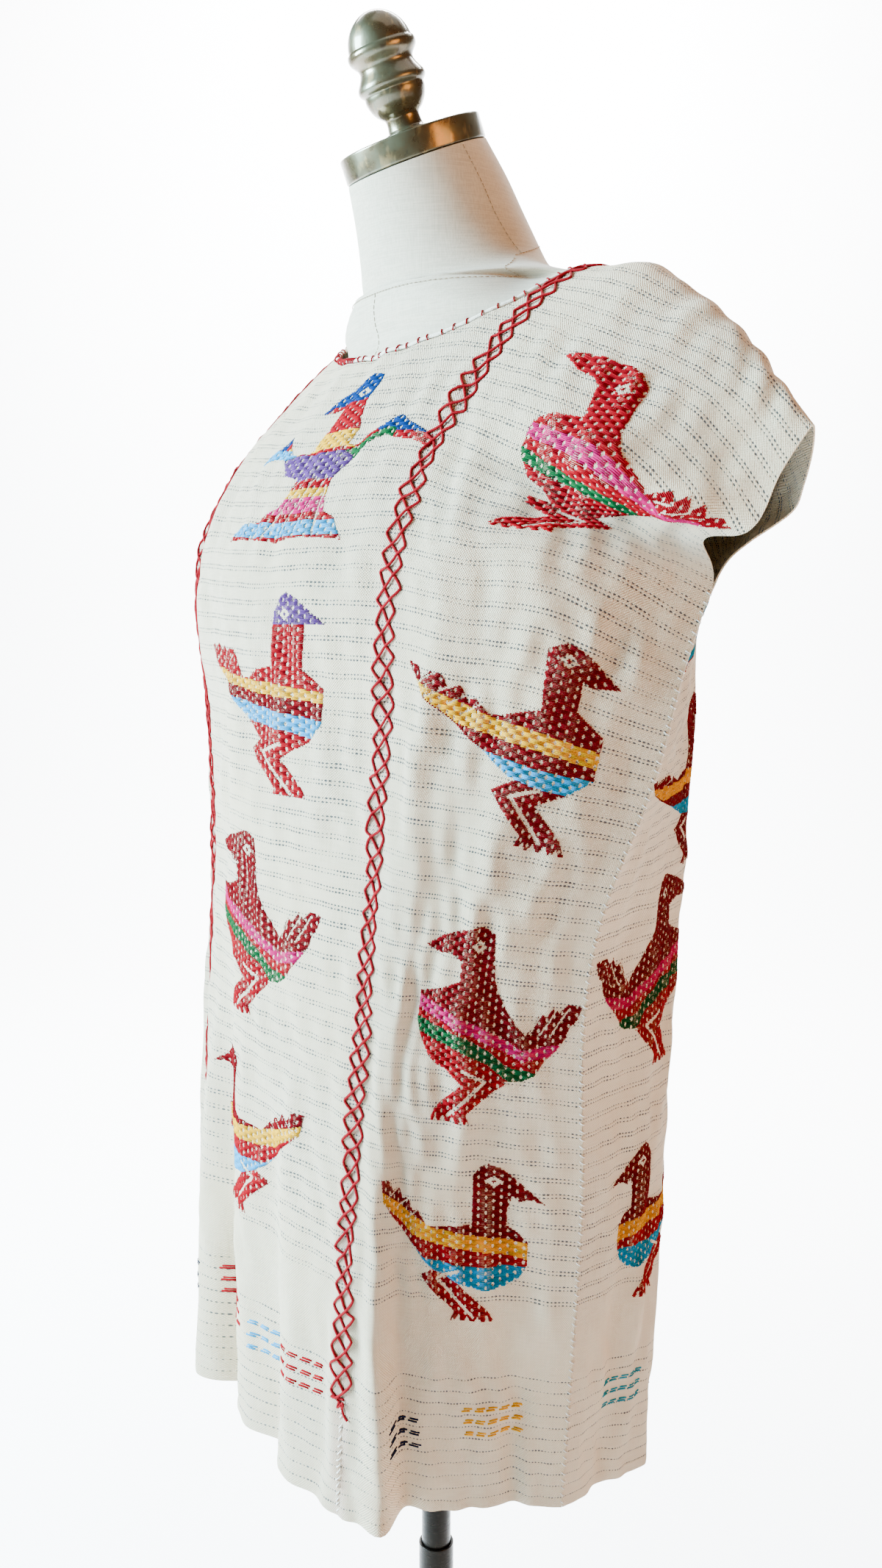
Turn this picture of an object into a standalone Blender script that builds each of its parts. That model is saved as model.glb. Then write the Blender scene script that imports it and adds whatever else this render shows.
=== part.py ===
"""Huipil blouse on a limbless dress form with a telescoping stand.

Metres, +Z up.  The origin is the middle of the base's underside, the front
faces -Y and the wearer's left is +X.  The blouse is three loom widths of
cotton joined by two seams: a middle one, cut into a front and a back by the
neck hole, and a side one on each hand that runs from the front hem over the
shoulder to the back hem.  Every cloth point is a function of two lengths on
the flat cloth: u across, from the middle, and w along, from the shoulder
line, negative in front and positive behind.
"""

import math
from collections import namedtuple

import bmesh
import bpy
import numpy as np
from mathutils import Vector

CM = 0.01

# ---- the cloth ----
WALL = 0.0012            # thickness of the cloth
SEAM_GAP = 0.0003        # space between two sewn pieces
SEAM_U = 0.125           # half the middle width: where the side widths are sewn on
FLANK_U = 0.235          # the middle of a side width
EDGE_U = 0.336           # the outer selvedge of a side width
ARMHOLE = 0.210          # open length below the shoulder line, above the side seam
HEM = 0.790              # cloth from the shoulder line to the hem
NECK_HALF = 0.1190       # half the neck hole, across
NECK_FRONT = 0.082       # how far the neck hole reaches down the front
NECK_BACK = 0.060        # and down the back
NECK_SQUARE = 2.5        # how square the neck hole's curve is
NECK_EDGE = 0.0035       # the rolled hem round the neck hole: its height on the cloth

# Rows across the cloth, in centimetres: how far along the cloth, then the place
# of the middle, of the seam, of the middle of the side width and of its edge.
SECTION_COLUMNS = ("w", "mid_y", "mid_z", "seam_x", "seam_y", "seam_z",
                   "flank_x", "flank_y", "flank_z", "edge_x", "edge_y", "edge_z")
SECTIONS = (
    (-79.0, -14.1, 62.3, 11.0, -13.6, 62.3, 13.9, -6.8, 62.2, 16.7, -1.1, 62.0),
    (-60.0, -14.2, 81.8, 11.5, -12.9, 81.8, 15.0, -8.8, 81.4, 18.6, -1.3, 80.4),
    (-40.0, -14.0, 101.6, 12.3, -11.4, 101.6, 18.0, -8.8, 101.0, 21.7, -2.5, 100.0),
    (-32.0, -13.8, 109.7, 12.5, -10.9, 109.6, 19.5, -8.0, 108.8, 23.5, -0.6, 107.5),
    (-24.0, -13.4, 117.8, 12.6, -10.6, 117.8, 20.6, -6.8, 116.5, 24.7, 0.8, 115.0),
    (-21.0, -12.8, 120.7, 12.6, -10.0, 120.7, 20.8, -6.3, 119.5, 25.0, 1.8, 117.8),
    (-15.0, -9.6, 126.3, 12.5, -7.6, 126.0, 21.5, -4.6, 122.5, 26.4, 0.1, 120.3),
    (-11.0, -7.2, 129.8, 12.5, -5.3, 129.2, 23.0, -4.6, 124.6, 29.0, 0.6, 120.6),
    (-6.0, -3.2, 134.0, 12.5, -1.9, 133.2, 23.0, -1.0, 128.5, 29.8, 1.8, 123.4),
    (0.0, 3.0, 137.0, 12.5, 3.0, 136.2, 22.6, 3.5, 132.4, 30.2, 3.5, 125.7),
    (6.0, 8.2, 135.0, 12.5, 7.6, 133.6, 22.2, 6.8, 128.6, 28.2, 5.0, 123.2),
    (11.0, 10.2, 130.5, 12.5, 9.4, 129.2, 21.3, 7.2, 124.0, 27.0, 5.2, 121.6),
    (15.0, 10.9, 126.5, 12.5, 9.8, 125.3, 20.6, 6.6, 121.2, 25.9, 3.6, 120.2),
    (21.0, 11.4, 120.5, 12.5, 9.8, 119.3, 20.0, 5.4, 118.0, 25.0, 1.8, 117.8),
    (24.0, 11.4, 117.5, 12.5, 9.7, 116.3, 19.7, 5.2, 115.4, 24.7, 0.8, 115.0),
    (32.0, 11.1, 109.4, 12.3, 9.5, 108.4, 18.6, 5.4, 107.8, 23.5, -0.6, 107.5),
    (40.0, 10.8, 101.4, 12.0, 9.3, 100.4, 17.5, 5.6, 100.0, 21.7, -2.5, 100.0),
    (60.0, 10.2, 81.2, 11.8, 9.0, 80.6, 17.0, 5.2, 80.4, 18.6, -1.3, 80.4),
    (79.0, 9.4, 62.3, 11.4, 8.2, 62.0, 15.8, 4.9, 62.0, 16.7, -1.1, 62.0),
)
FRONT, BACK = -1, 1
# Folds that start part of the way down and are deepest at the hem, in centimetres.
Fold = namedtuple("Fold", "across side push half_width starts_at")
FOLDS = tuple(Fold(*row) for row in (
    (-30.0, FRONT, -0.6, 1.6, 40.0),
    (-23.0, FRONT, -0.7, 1.6, 42.0),
    (-16.5, FRONT, 1.9, 2.0, 42.0),
    (-12.0, FRONT, -0.4, 1.2, 45.0),
    (-8.5, FRONT, 1.0, 1.8, 42.0),
    (-5.2, FRONT, -2.0, 1.3, 40.0),
    (-1.0, FRONT, 0.7, 2.0, 42.0),
    (2.8, FRONT, -0.9, 1.3, 50.0),
    (5.8, FRONT, 0.5, 1.6, 45.0),
    (9.5, FRONT, -0.5, 1.4, 45.0),
    (16.4, FRONT, 1.4, 1.5, 45.0),
    (19.0, FRONT, -0.8, 1.3, 50.0),
    (29.0, FRONT, -0.6, 1.4, 45.0),
    (-24.0, BACK, 0.8, 2.2, 40.0),
    (-11.0, BACK, -0.8, 1.8, 40.0),
    (-5.0, BACK, 0.7, 2.0, 45.0),
    (2.0, BACK, -0.9, 1.8, 42.0),
    (8.5, BACK, 0.6, 2.0, 45.0),
    (15.0, BACK, -0.8, 1.6, 42.0),
    (21.5, BACK, 0.5, 1.8, 45.0),
    (28.0, BACK, -0.6, 1.6, 50.0),
))
# Round swells and hollows away from the hem, in centimetres.
Swell = namedtuple("Swell", "across along push half_width half_length")
SWELLS = tuple(Swell(*row) for row in (
    (17.6, 0.0, 0.7, 3.2, 5.0),
    (-17.6, 0.0, 0.7, 3.2, 5.0),
    (-12.5, -22.0, 1.7, 8.0, 12.0),
    (-21.0, -13.0, -0.5, 3.5, 3.5),
    (25.5, -11.8, 0.5, 5.0, 2.2),
    (25.0, -15.4, -0.6, 5.0, 1.8),
    (22.0, -33.0, -0.6, 3.0, 12.0),
    (15.5, -36.0, 0.5, 2.5, 14.0),
    (-22.0, -34.0, -0.5, 3.0, 12.0),
    (20.0, 36.0, 0.5, 3.0, 12.0),
    (-20.0, 36.0, 0.5, 3.0, 12.0),
))
FORM_Y = 0.4             # the tables' middle lies this far behind the pole, in centimetres

# How finely each piece is divided.
NECK_COLUMNS = 13        # facets from the middle to the neck hole's end
COLUMN_CROWDING = 1.4    # how much closer they are near the neck hole's end
SIDE_COLUMNS = 15        # facets across a side width
UPPER_ROWS = 8           # facets from the shoulder line to the armhole's foot
LOWER_ROWS = 11          # facets from the armhole's foot to the hem

# ---- the dress form ----
# Level rings of the body and tilted rings of the neck, in centimetres: middle,
# tilt in degrees, half width, depth in front and behind, squareness, then the
# half width and front depth of the neck's flare where it spreads into the ring.
Ring = namedtuple("Ring", "y z tilt half_width front back square flare_half flare_front")
RINGS = tuple(Ring(*row) for row in (
    (-0.8, 74.0, 0.0, 14.6, 9.3, 9.2, 2.2, 1.0, 1.0),
    (-0.8, 82.0, 0.0, 15.2, 9.6, 9.4, 2.2, 1.0, 1.0),
    (-0.9, 92.0, 0.0, 13.9, 8.8, 8.6, 2.2, 1.0, 1.0),
    (-0.9, 101.0, 0.0, 11.6, 8.0, 7.9, 2.1, 1.0, 1.0),
    (-0.8, 108.0, 0.0, 12.6, 9.0, 8.5, 2.1, 1.0, 1.0),
    (-0.6, 116.0, 0.0, 14.6, 11.4, 10.0, 2.1, 1.0, 1.0),
    (-0.2, 121.0, 0.0, 15.6, 10.6, 10.2, 2.2, 1.0, 1.0),
    (0.6, 127.0, 0.0, 17.0, 8.2, 8.6, 2.4, 1.0, 1.0),
    (1.8, 130.6, 0.0, 17.6, 6.2, 6.4, 2.3, 9.4, 6.8),
    (2.6, 133.0, 0.0, 17.8, 5.2, 4.9, 1.9, 9.6, 7.1),
    (2.9, 134.3, 0.0, 17.3, 4.8, 4.1, 1.6, 10.2, 7.7),
    (3.1, 135.15, 0.0, 15.9, 3.7, 3.3, 1.6, 9.7, 8.0),
    (3.1, 135.85, 0.0, 13.2, 2.7, 2.3, 1.6, 8.9, 7.92),
    (3.0, 136.3, 0.0, 11.0, 2.4, 2.2, 1.6, 8.1, 7.75),
    (2.0, 136.9, 4.0, 8.8, 6.2, 4.2, 1.7, 7.0, 6.2),
    (1.0, 137.9, 12.0, 6.9, 5.8, 5.2, 2.0, 1.0, 1.0),
    (0.1, 139.8, 21.5, 5.8, 5.5, 5.3, 2.0, 1.0, 1.0),
    (-0.7, 142.0, 21.5, 5.2, 5.1, 5.0, 2.0, 1.0, 1.0),
    (-1.75, 144.3, 21.5, 4.65, 4.6, 4.6, 2.0, 1.0, 1.0),
))
FLARE_SQUARE = 2.5       # how square the flare is
FLARE_BACK = 0.47        # the flare's depth behind, as a share of its half width
FLARE_BLEND = 8.0        # how sharply the neck's flare meets the shoulders
RING_POINTS = 40         # points round each ring
FORM_BOTTOM = RINGS[0].z * CM
NECK_TILT = math.radians(RINGS[-1].tilt)
CAP_FOOT = Vector((0.0, -0.0176, 1.4433))   # middle of the neck cap's underside
CAP_RADIUS = 0.0460
CAP_HEIGHT = 0.0155
JOINT_GAP = 0.0003       # space between two hard pieces that touch
# Turned finial, in centimetres: height above the cap, radius.
FINIAL = (
    (0.00, 1.46), (0.32, 1.46), (0.46, 1.14), (1.27, 1.11), (1.73, 1.64), (2.37, 1.87),
    (2.82, 1.93), (3.28, 2.16), (3.69, 2.00), (4.14, 1.75), (4.64, 1.93), (5.16, 2.16),
    (5.55, 2.07), (5.92, 1.85), (6.46, 1.69), (6.92, 1.36), (7.23, 0.89), (7.42, 0.41),
)

# ---- the stand ----
BASE_RADIUS = 0.155
BASE_THICK = 0.012
HUB_RADIUS = 0.030
HUB_HEIGHT = 0.026
TUBE_OUTER = 0.0125
TUBE_INNER = 0.01075
TUBE_TOP = 0.490
POLE_RADIUS = 0.0105
POLE_FOOT = 0.200
FLANGE_RADIUS = 0.045
FLANGE_THICK = 0.008
KNOB_HEIGHT = 0.440
SCREW_RADIUS = 0.0030    # the clamp screw's shank
SCREW_HOLE = 0.0034      # the radius of its hole in the tube
KNOB_RADIUS = 0.0130
KNOB_THICK = 0.0120
KNOB_STAND = 0.0040      # from the tube's outside to the knob
ROUND_SIDES = 32


# ------------------------------------------------------------------ the cloth


def smooth(knots, values, at):
    """Smooth curve through rows of values: a cubic whose slopes come from its neighbours."""
    slope = np.gradient(values, knots, axis=0)
    low = np.clip(np.searchsorted(knots, at) - 1, 0, len(knots) - 2)
    return cubic(values[low], values[low + 1], slope[low], slope[low + 1],
                 knots[low], knots[low + 1], at)


def cubic(start, end, start_slope, end_slope, knot_a, knot_b, at):
    """One cubic span with a given value and slope at each of its ends."""
    span = (knot_b - knot_a)[..., None]
    t = (at - knot_a)[..., None] / span
    rise = t * t * (3.0 - 2.0 * t)
    leave = t * (1.0 - t) ** 2 * span
    arrive = t * t * (t - 1.0) * span
    return start * (1.0 - rise) + end * rise + start_slope * leave + end_slope * arrive


SECTION_TABLE = np.array(SECTIONS) * CM
SECTION_TABLE[:, [name.endswith("_y") for name in SECTION_COLUMNS]] += FORM_Y * CM
STATION_U = np.array([-EDGE_U, -FLANK_U, -SEAM_U, 0.0, SEAM_U, FLANK_U, EDGE_U])


def row_stations(w):
    """The seven known points of the row at w, from one edge to the other."""
    rows = smooth(SECTION_TABLE[:, 0], SECTION_TABLE, w)
    row = dict(zip(SECTION_COLUMNS, np.moveaxis(rows, -1, 0)))
    middle = np.stack([np.zeros_like(w), row["mid_y"], row["mid_z"]], -1)
    edge, flank, seam = [np.stack([row[name + "_x"], row[name + "_y"], row[name + "_z"]], -1)
                         for name in ("edge", "flank", "seam")]
    mirror = np.array([-1.0, 1.0, 1.0])
    return np.stack([edge * mirror, flank * mirror, seam * mirror,
                     middle, seam, flank, edge], -2)


def plain_cloth(u, w):
    """The cloth without its folds: a smooth curve through the stations of each row."""
    stations = row_stations(w)
    slopes = np.gradient(stations, STATION_U, axis=-2)
    low = np.clip(np.searchsorted(STATION_U, u) - 1, 0, len(STATION_U) - 2)

    def pick(rows, index):
        chosen = np.broadcast_to(index[..., None, None], index.shape + (1, 3))
        return np.take_along_axis(rows, chosen, -2)[..., 0, :]

    return cubic(pick(stations, low), pick(stations, low + 1), pick(slopes, low),
                 pick(slopes, low + 1), STATION_U[low], STATION_U[low + 1], u)


def outward(place, u, w, step=1e-4):
    """Unit normals of a cloth surface, from its slopes along u and w."""
    across = place(u + step, w) - place(u - step, w)
    along = place(u, w + step) - place(u, w - step)
    normal = np.cross(across, along)
    return normal / np.linalg.norm(normal, axis=-1, keepdims=True)


def fold_push(u, w):
    """How far the folds and swells push the cloth out at u, w."""
    depth = np.abs(w)
    push = np.zeros_like(u)
    for fold in FOLDS:
        start = fold.starts_at * CM
        grown = np.clip((depth - start) / (HEM - start), 0.0, 1.0)
        grown = grown * grown * (3.0 - 2.0 * grown)
        bell = np.exp(-((u - fold.across * CM) / (fold.half_width * CM)) ** 2)
        push = push + (np.sign(w) == fold.side) * fold.push * CM * grown * bell
    for swell in SWELLS:
        bell = np.exp(-((u - swell.across * CM) / (swell.half_width * CM)) ** 2
                      - ((w - swell.along * CM) / (swell.half_length * CM)) ** 2)
        push = push + swell.push * CM * bell
    return push


def cloth(u, w):
    """Outer face of the blouse at u across and w along the cloth."""
    u, w = np.broadcast_arrays(np.asarray(u, float), np.asarray(w, float))
    return plain_cloth(u, w) + outward(plain_cloth, u, w) * fold_push(u, w)[..., None]


def neck_curve(half, deepest):
    """Edge of a neck hole in flat cloth: its u, from end to end, and depths below the shoulder."""
    share = np.linspace(0.0, 1.0, NECK_COLUMNS + 1)
    share = 1.0 - (1.0 - share) ** COLUMN_CROWDING
    depth = deepest * (1.0 - share ** NECK_SQUARE) ** (1.0 / NECK_SQUARE)
    u = half * share
    return np.concatenate([-u[:0:-1], u]), np.concatenate([depth[:0:-1], depth])


def depth_levels():
    """Depths below the shoulder line that every width has a row of points at."""
    upper = np.linspace(0.0, ARMHOLE, UPPER_ROWS + 1)
    lower = np.linspace(ARMHOLE, HEM, LOWER_ROWS + 1)[1:]
    return np.concatenate([upper, lower])


def wall_mesh(name, outer, inner):
    """A closed wall between two grids of points: both faces and the rim that joins them."""
    rows, columns = outer.shape[:2]
    points = np.concatenate([outer.reshape(-1, 3), inner.reshape(-1, 3)])
    index = np.arange(rows * columns).reshape(rows, columns)
    quads = np.stack([index[:-1, :-1], index[:-1, 1:], index[1:, 1:], index[1:, :-1]], -1)
    quads = quads.reshape(-1, 4)
    rim = np.concatenate([index[0, :-1], index[:-1, -1], index[-1, :0:-1], index[:0:-1, 0]])
    after = np.roll(rim, -1)
    back = rows * columns
    sides = np.stack([rim, rim + back, after + back, after], -1)
    faces = np.concatenate([quads, quads[:, ::-1] + back, sides])
    mesh = bpy.data.meshes.new(name)
    mesh.from_pydata(points.tolist(), [], faces.tolist())
    mesh.shade_smooth()
    return new_object(name, mesh)


def side_width(name, hand):
    """A side width: one wall from the front hem over the shoulder to the back hem.

    Below the armhole its front and back edges meet in the side seam, so both
    are cut in the plane half way between them.
    """
    levels = depth_levels()
    w = np.concatenate([-levels[::-1], levels[1:]])
    u = hand * np.linspace(SEAM_U + SEAM_GAP / 2, EDGE_U, SIDE_COLUMNS + 1)
    across, along = np.meshgrid(u, w)
    outer = cloth(across, along)
    normal = outward(cloth, across, along)
    sewn = np.abs(w) >= ARMHOLE - 1e-9
    outer[sewn, -1, 1] += np.sign(w[sewn]) * SEAM_GAP / 2
    shared = normal[:, -1] + normal[::-1, -1]
    shared /= np.linalg.norm(shared, axis=-1, keepdims=True)
    stretch = 1.0 / np.sum(shared * normal[:, -1], axis=-1, keepdims=True)
    normal[sewn, -1] = (shared * stretch)[sewn]
    inner = outer - normal * WALL
    if hand < 0:
        outer, inner = outer[:, ::-1], inner[:, ::-1]
    return wall_mesh(name, outer, inner)


def middle_width(name, side, deepest):
    """The front or back of the middle width, from the rolled neck hem to the hem.

    Its columns are the neck curve's, with one more at each seam.
    """
    start = NECK_EDGE + 1.5 * SEAM_GAP
    u, edge = neck_curve(NECK_HALF + start, deepest + NECK_EDGE + SEAM_GAP)
    seam = SEAM_U - SEAM_GAP / 2
    u = np.concatenate([[-seam], u, [seam]])
    edge = np.concatenate([[0.0], edge, [0.0]]) + SEAM_GAP / 2
    share = np.linspace(0.0, 1.0, UPPER_ROWS + 1)[:, None]
    upper = edge * (1.0 - share) + ARMHOLE * share
    lower = np.linspace(ARMHOLE, HEM, LOWER_ROWS + 1)[1:, None] + 0.0 * u
    return cloth_band(name, u, np.concatenate([upper, lower]), side, 0.0, WALL)


def neck_hem(name, side, deepest):
    """The rolled hem along the front or back of the neck hole, thicker than the cloth."""
    inner_u, inner_depth = neck_curve(NECK_HALF, deepest)
    outer_u, outer_depth = neck_curve(NECK_HALF + NECK_EDGE, deepest + NECK_EDGE)
    u = np.stack([inner_u, outer_u])
    depth = np.stack([inner_depth, outer_depth]) + SEAM_GAP / 2
    return cloth_band(name, u, depth, side, 0.5 * WALL, 1.5 * WALL)


def cloth_band(name, u, depth, side, raised, thickness):
    """A wall on the cloth's surface over a grid of u and depth, on the front or the back."""
    across = np.broadcast_to(u, depth.shape)
    along = side * depth
    normal = outward(cloth, across, along)
    outer = cloth(across, along) + normal * raised
    inner = outer - normal * thickness
    if side == FRONT:
        outer, inner = outer[::-1], inner[::-1]
    return wall_mesh(name, outer, inner)


# ------------------------------------------------------------- the dress form


def ring_outline(turn, ring):
    """Flat outline of a ring: the larger of a squarish oval and the neck's flare.

    Both are taken as distances from the middle in the same direction, and a
    high power mean of the two rounds the corner where they cross.
    """
    ahead = np.sin(turn) < 0.0
    reach = np.where(ahead, ring.front, ring.back)
    flare_reach = np.where(ahead, ring.flare_front, ring.flare_half * FLARE_BACK)
    x, y = ring.half_width * np.cos(turn), reach * np.sin(turn)
    oval = squarish(x / ring.half_width, y / reach, ring.square)
    flare = squarish(x / ring.flare_half, y / flare_reach, FLARE_SQUARE)
    scale = (oval ** FLARE_BLEND + flare ** FLARE_BLEND) ** (1.0 / FLARE_BLEND)
    return x * scale, y * scale


def squarish(x, y, square):
    """How far a superellipse of half axes 1 reaches along the direction of x, y, over x, y."""
    return (np.abs(x) ** square + np.abs(y) ** square) ** (-1.0 / square)


def form_body(name):
    """Body and neck of the dress form: rings joined into one closed skin."""
    turn = np.linspace(0.0, 2.0 * math.pi, RING_POINTS, endpoint=False)
    mesh = bmesh.new()
    loops = []
    for ring in RINGS:
        lean = math.radians(ring.tilt)
        outline = [Vector((a, FORM_Y + ring.y + b * math.cos(lean),
                           ring.z + b * math.sin(lean))) * CM
                   for a, b in zip(*ring_outline(turn, ring))]
        loops.append([mesh.verts.new(point) for point in outline])
    for lower, upper in zip(loops, loops[1:]):
        for here in range(RING_POINTS):
            after = (here + 1) % RING_POINTS
            mesh.faces.new((lower[here], lower[after], upper[after], upper[here]))
    mesh.faces.new(loops[0][::-1])
    mesh.faces.new(loops[-1])
    data = bpy.data.meshes.new(name)
    mesh.to_mesh(data)
    mesh.free()
    data.shade_smooth()
    return new_object(name, data)


def turned(name, profile, bottom, tilt=0.0):
    """A solid turned about its own axis from (height, radius) points, low to high."""
    points = [(0.0, profile[0][0])] + [(r, h) for h, r in profile] + [(0.0, profile[-1][0])]
    mesh = bpy.data.meshes.new(name)
    places = [(r, 0.0, h) for r, h in reversed(points)]
    mesh.from_pydata(places, [(k, k + 1) for k in range(len(places) - 1)], [])
    piece = new_object(name, mesh)
    screw = piece.modifiers.new("turn", "SCREW")
    screw.axis = "Z"
    screw.steps = ROUND_SIDES
    screw.render_steps = ROUND_SIDES
    screw.use_merge_vertices = True
    screw.merge_threshold = 0.00001
    screw.use_smooth_shade = True
    piece.location = bottom
    piece.rotation_euler = (tilt, 0.0, 0.0)
    return piece


def up_the_neck(distance):
    """Point on the neck's leaning axis at a distance above the cap's underside."""
    lean = Vector((0.0, -math.sin(NECK_TILT), math.cos(NECK_TILT)))
    return CAP_FOOT + Vector((0.0, FORM_Y * CM, 0.0)) + lean * distance


def neck_cap(name):
    """Turned lid of the neck, with small rounded rims."""
    rim = 0.0012
    profile = ((0.0, CAP_RADIUS - rim), (rim, CAP_RADIUS),
               (CAP_HEIGHT - rim, CAP_RADIUS), (CAP_HEIGHT, CAP_RADIUS - rim))
    return turned(name, profile, up_the_neck(JOINT_GAP), NECK_TILT)


def finial(name):
    """Turned knob on the neck cap."""
    profile = [(height * CM, radius * CM) for height, radius in FINIAL]
    return turned(name, profile, up_the_neck(CAP_HEIGHT + 2 * JOINT_GAP), NECK_TILT)


# ------------------------------------------------------------------ the stand


def base_plate(name):
    """Round foot plate with the hub that the tube stands in."""
    bevel = 0.003
    profile = ((0.0, BASE_RADIUS), (BASE_THICK - bevel, BASE_RADIUS),
               (BASE_THICK, BASE_RADIUS - bevel), (BASE_THICK, HUB_RADIUS),
               (HUB_HEIGHT, HUB_RADIUS - bevel))
    return turned(name, profile, (0.0, 0.0, 0.0))


def stand_tube(name):
    """Outer tube on the hub, open at the top, with the clamp screw's hole."""
    foot = HUB_HEIGHT + JOINT_GAP
    floor = 0.003
    bpy.ops.mesh.primitive_cylinder_add(
        vertices=ROUND_SIDES, radius=TUBE_OUTER, depth=TUBE_TOP - foot,
        location=(0.0, 0.0, (TUBE_TOP + foot) / 2))
    tube = adopt(name)
    cut(tube, cutter("tube_bore", TUBE_INNER, TUBE_TOP - foot - floor + 0.01,
                     (0.0, 0.0, (TUBE_TOP + 0.01 + foot + floor) / 2), ROUND_SIDES))
    hole_middle = (0.0, -TUBE_OUTER, KNOB_HEIGHT)
    cut(tube, cutter("screw_hole", SCREW_HOLE, TUBE_OUTER, hole_middle, 16, math.pi / 2))
    smooth_round(tube.data)
    return tube


def clamp_knob(name):
    """Clamp screw: a thin shank through the tube's wall and a round knob to turn it by."""
    tip = POLE_RADIUS + JOINT_GAP
    shank = TUBE_OUTER + KNOB_STAND - tip
    profile = ((0.0, SCREW_RADIUS), (shank, SCREW_RADIUS), (shank, KNOB_RADIUS - 0.001),
               (shank + 0.001, KNOB_RADIUS), (shank + KNOB_THICK - 0.001, KNOB_RADIUS),
               (shank + KNOB_THICK, KNOB_RADIUS - 0.001))
    return turned(name, profile, (0.0, -tip, KNOB_HEIGHT), math.pi / 2)


def sliding_pole(name):
    """Inner pole, which slides and turns in the tube."""
    top = FORM_BOTTOM - FLANGE_THICK - 2 * JOINT_GAP
    bpy.ops.mesh.primitive_cylinder_add(
        vertices=ROUND_SIDES, radius=POLE_RADIUS, depth=top - POLE_FOOT,
        location=(0.0, 0.0, (top + POLE_FOOT) / 2))
    pole = adopt(name)
    smooth_round(pole.data)
    return pole


def flange(name):
    """Round plate under the form, between it and the pole."""
    foot = FORM_BOTTOM - FLANGE_THICK - JOINT_GAP
    profile = ((0.0, FLANGE_RADIUS - 0.001), (0.001, FLANGE_RADIUS),
               (FLANGE_THICK, FLANGE_RADIUS))
    return turned(name, profile, (0.0, 0.0, foot))


# -------------------------------------------------------------------- helpers


def new_object(name, mesh):
    piece = bpy.data.objects.new(name, mesh)
    bpy.data.collections[PART_COLLECTION].objects.link(piece)
    return piece


def adopt(name):
    """Take the primitive that was just made into the part's collection."""
    piece = bpy.context.object
    piece.name = name
    piece.data.name = name
    for home in list(piece.users_collection):
        home.objects.unlink(piece)
    bpy.data.collections[PART_COLLECTION].objects.link(piece)
    return piece


def smooth_round(mesh):
    mesh.shade_smooth()
    mesh.set_sharp_from_angle(angle=math.radians(40.0))


def cutter(name, radius, depth, middle, sides, tilt=0.0):
    """Round cutting tool; it takes material away and isn't a piece."""
    bpy.ops.mesh.primitive_cylinder_add(vertices=sides, radius=radius, depth=depth,
                                        location=middle, rotation=(tilt, 0.0, 0.0))
    tool = bpy.context.object
    tool.name = name
    tool.hide_render = True
    tool.display_type = "WIRE"
    for home in list(tool.users_collection):
        home.objects.unlink(tool)
    bpy.data.collections[CUTTER_COLLECTION].objects.link(tool)
    return tool


def cut(piece, tool):
    boolean = piece.modifiers.new(tool.name, "BOOLEAN")
    boolean.operation = "DIFFERENCE"
    boolean.solver = "EXACT"
    boolean.object = tool


def material(name, colour, roughness, metallic=0.0):
    finish = bpy.data.materials.new(name)
    finish.use_nodes = True
    shader = finish.node_tree.nodes["Principled BSDF"]
    shader.inputs["Base Color"].default_value = (*colour, 1.0)
    shader.inputs["Roughness"].default_value = roughness
    shader.inputs["Metallic"].default_value = metallic
    return finish


PART_COLLECTION = "huipil_on_form"
CUTTER_COLLECTION = "cutting_tools"


def clear_scene():
    for piece in list(bpy.data.objects):
        bpy.data.objects.remove(piece, do_unlink=True)
    for name in (PART_COLLECTION, CUTTER_COLLECTION):
        bpy.context.scene.collection.children.link(bpy.data.collections.new(name))


def build():
    clear_scene()
    cotton = material("cream_cotton", (0.83, 0.79, 0.71), 0.9)
    hem_cotton = material("rolled_hem_cotton", (0.80, 0.74, 0.66), 0.9)
    linen = material("form_cover", (0.60, 0.55, 0.47), 0.9)
    bronze = material("aged_bronze", (0.16, 0.12, 0.06), 0.3, 0.7)
    steel = material("dark_steel", (0.05, 0.045, 0.04), 0.35, 0.9)
    finishes = (
        (middle_width("front_middle_width", FRONT, NECK_FRONT), cotton),
        (middle_width("back_middle_width", BACK, NECK_BACK), cotton),
        (side_width("side_width_left", 1), cotton),
        (side_width("side_width_right", -1), cotton),
        (neck_hem("neck_hem_front", FRONT, NECK_FRONT), hem_cotton),
        (neck_hem("neck_hem_back", BACK, NECK_BACK), hem_cotton),
        (form_body("form_body"), linen),
        (neck_cap("neck_cap"), bronze),
        (finial("finial"), bronze),
        (flange("form_flange"), steel),
        (sliding_pole("inner_pole"), steel),
        (stand_tube("outer_tube"), steel),
        (clamp_knob("clamp_knob"), steel),
        (base_plate("base_plate"), steel),
    )
    for piece, finish in finishes:
        piece.data.materials.append(finish)


build()
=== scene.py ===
"""Huipil blouse of three loom widths on a limbless dress form, dressed for a render.

The cloth is a function of two lengths on the flat weaving: u across it from
the middle, and w along it from the shoulder line, negative in front.  Threads,
brocade and stitches are laid on that surface, so they follow every fold.
"""

import math
from collections import namedtuple

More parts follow.
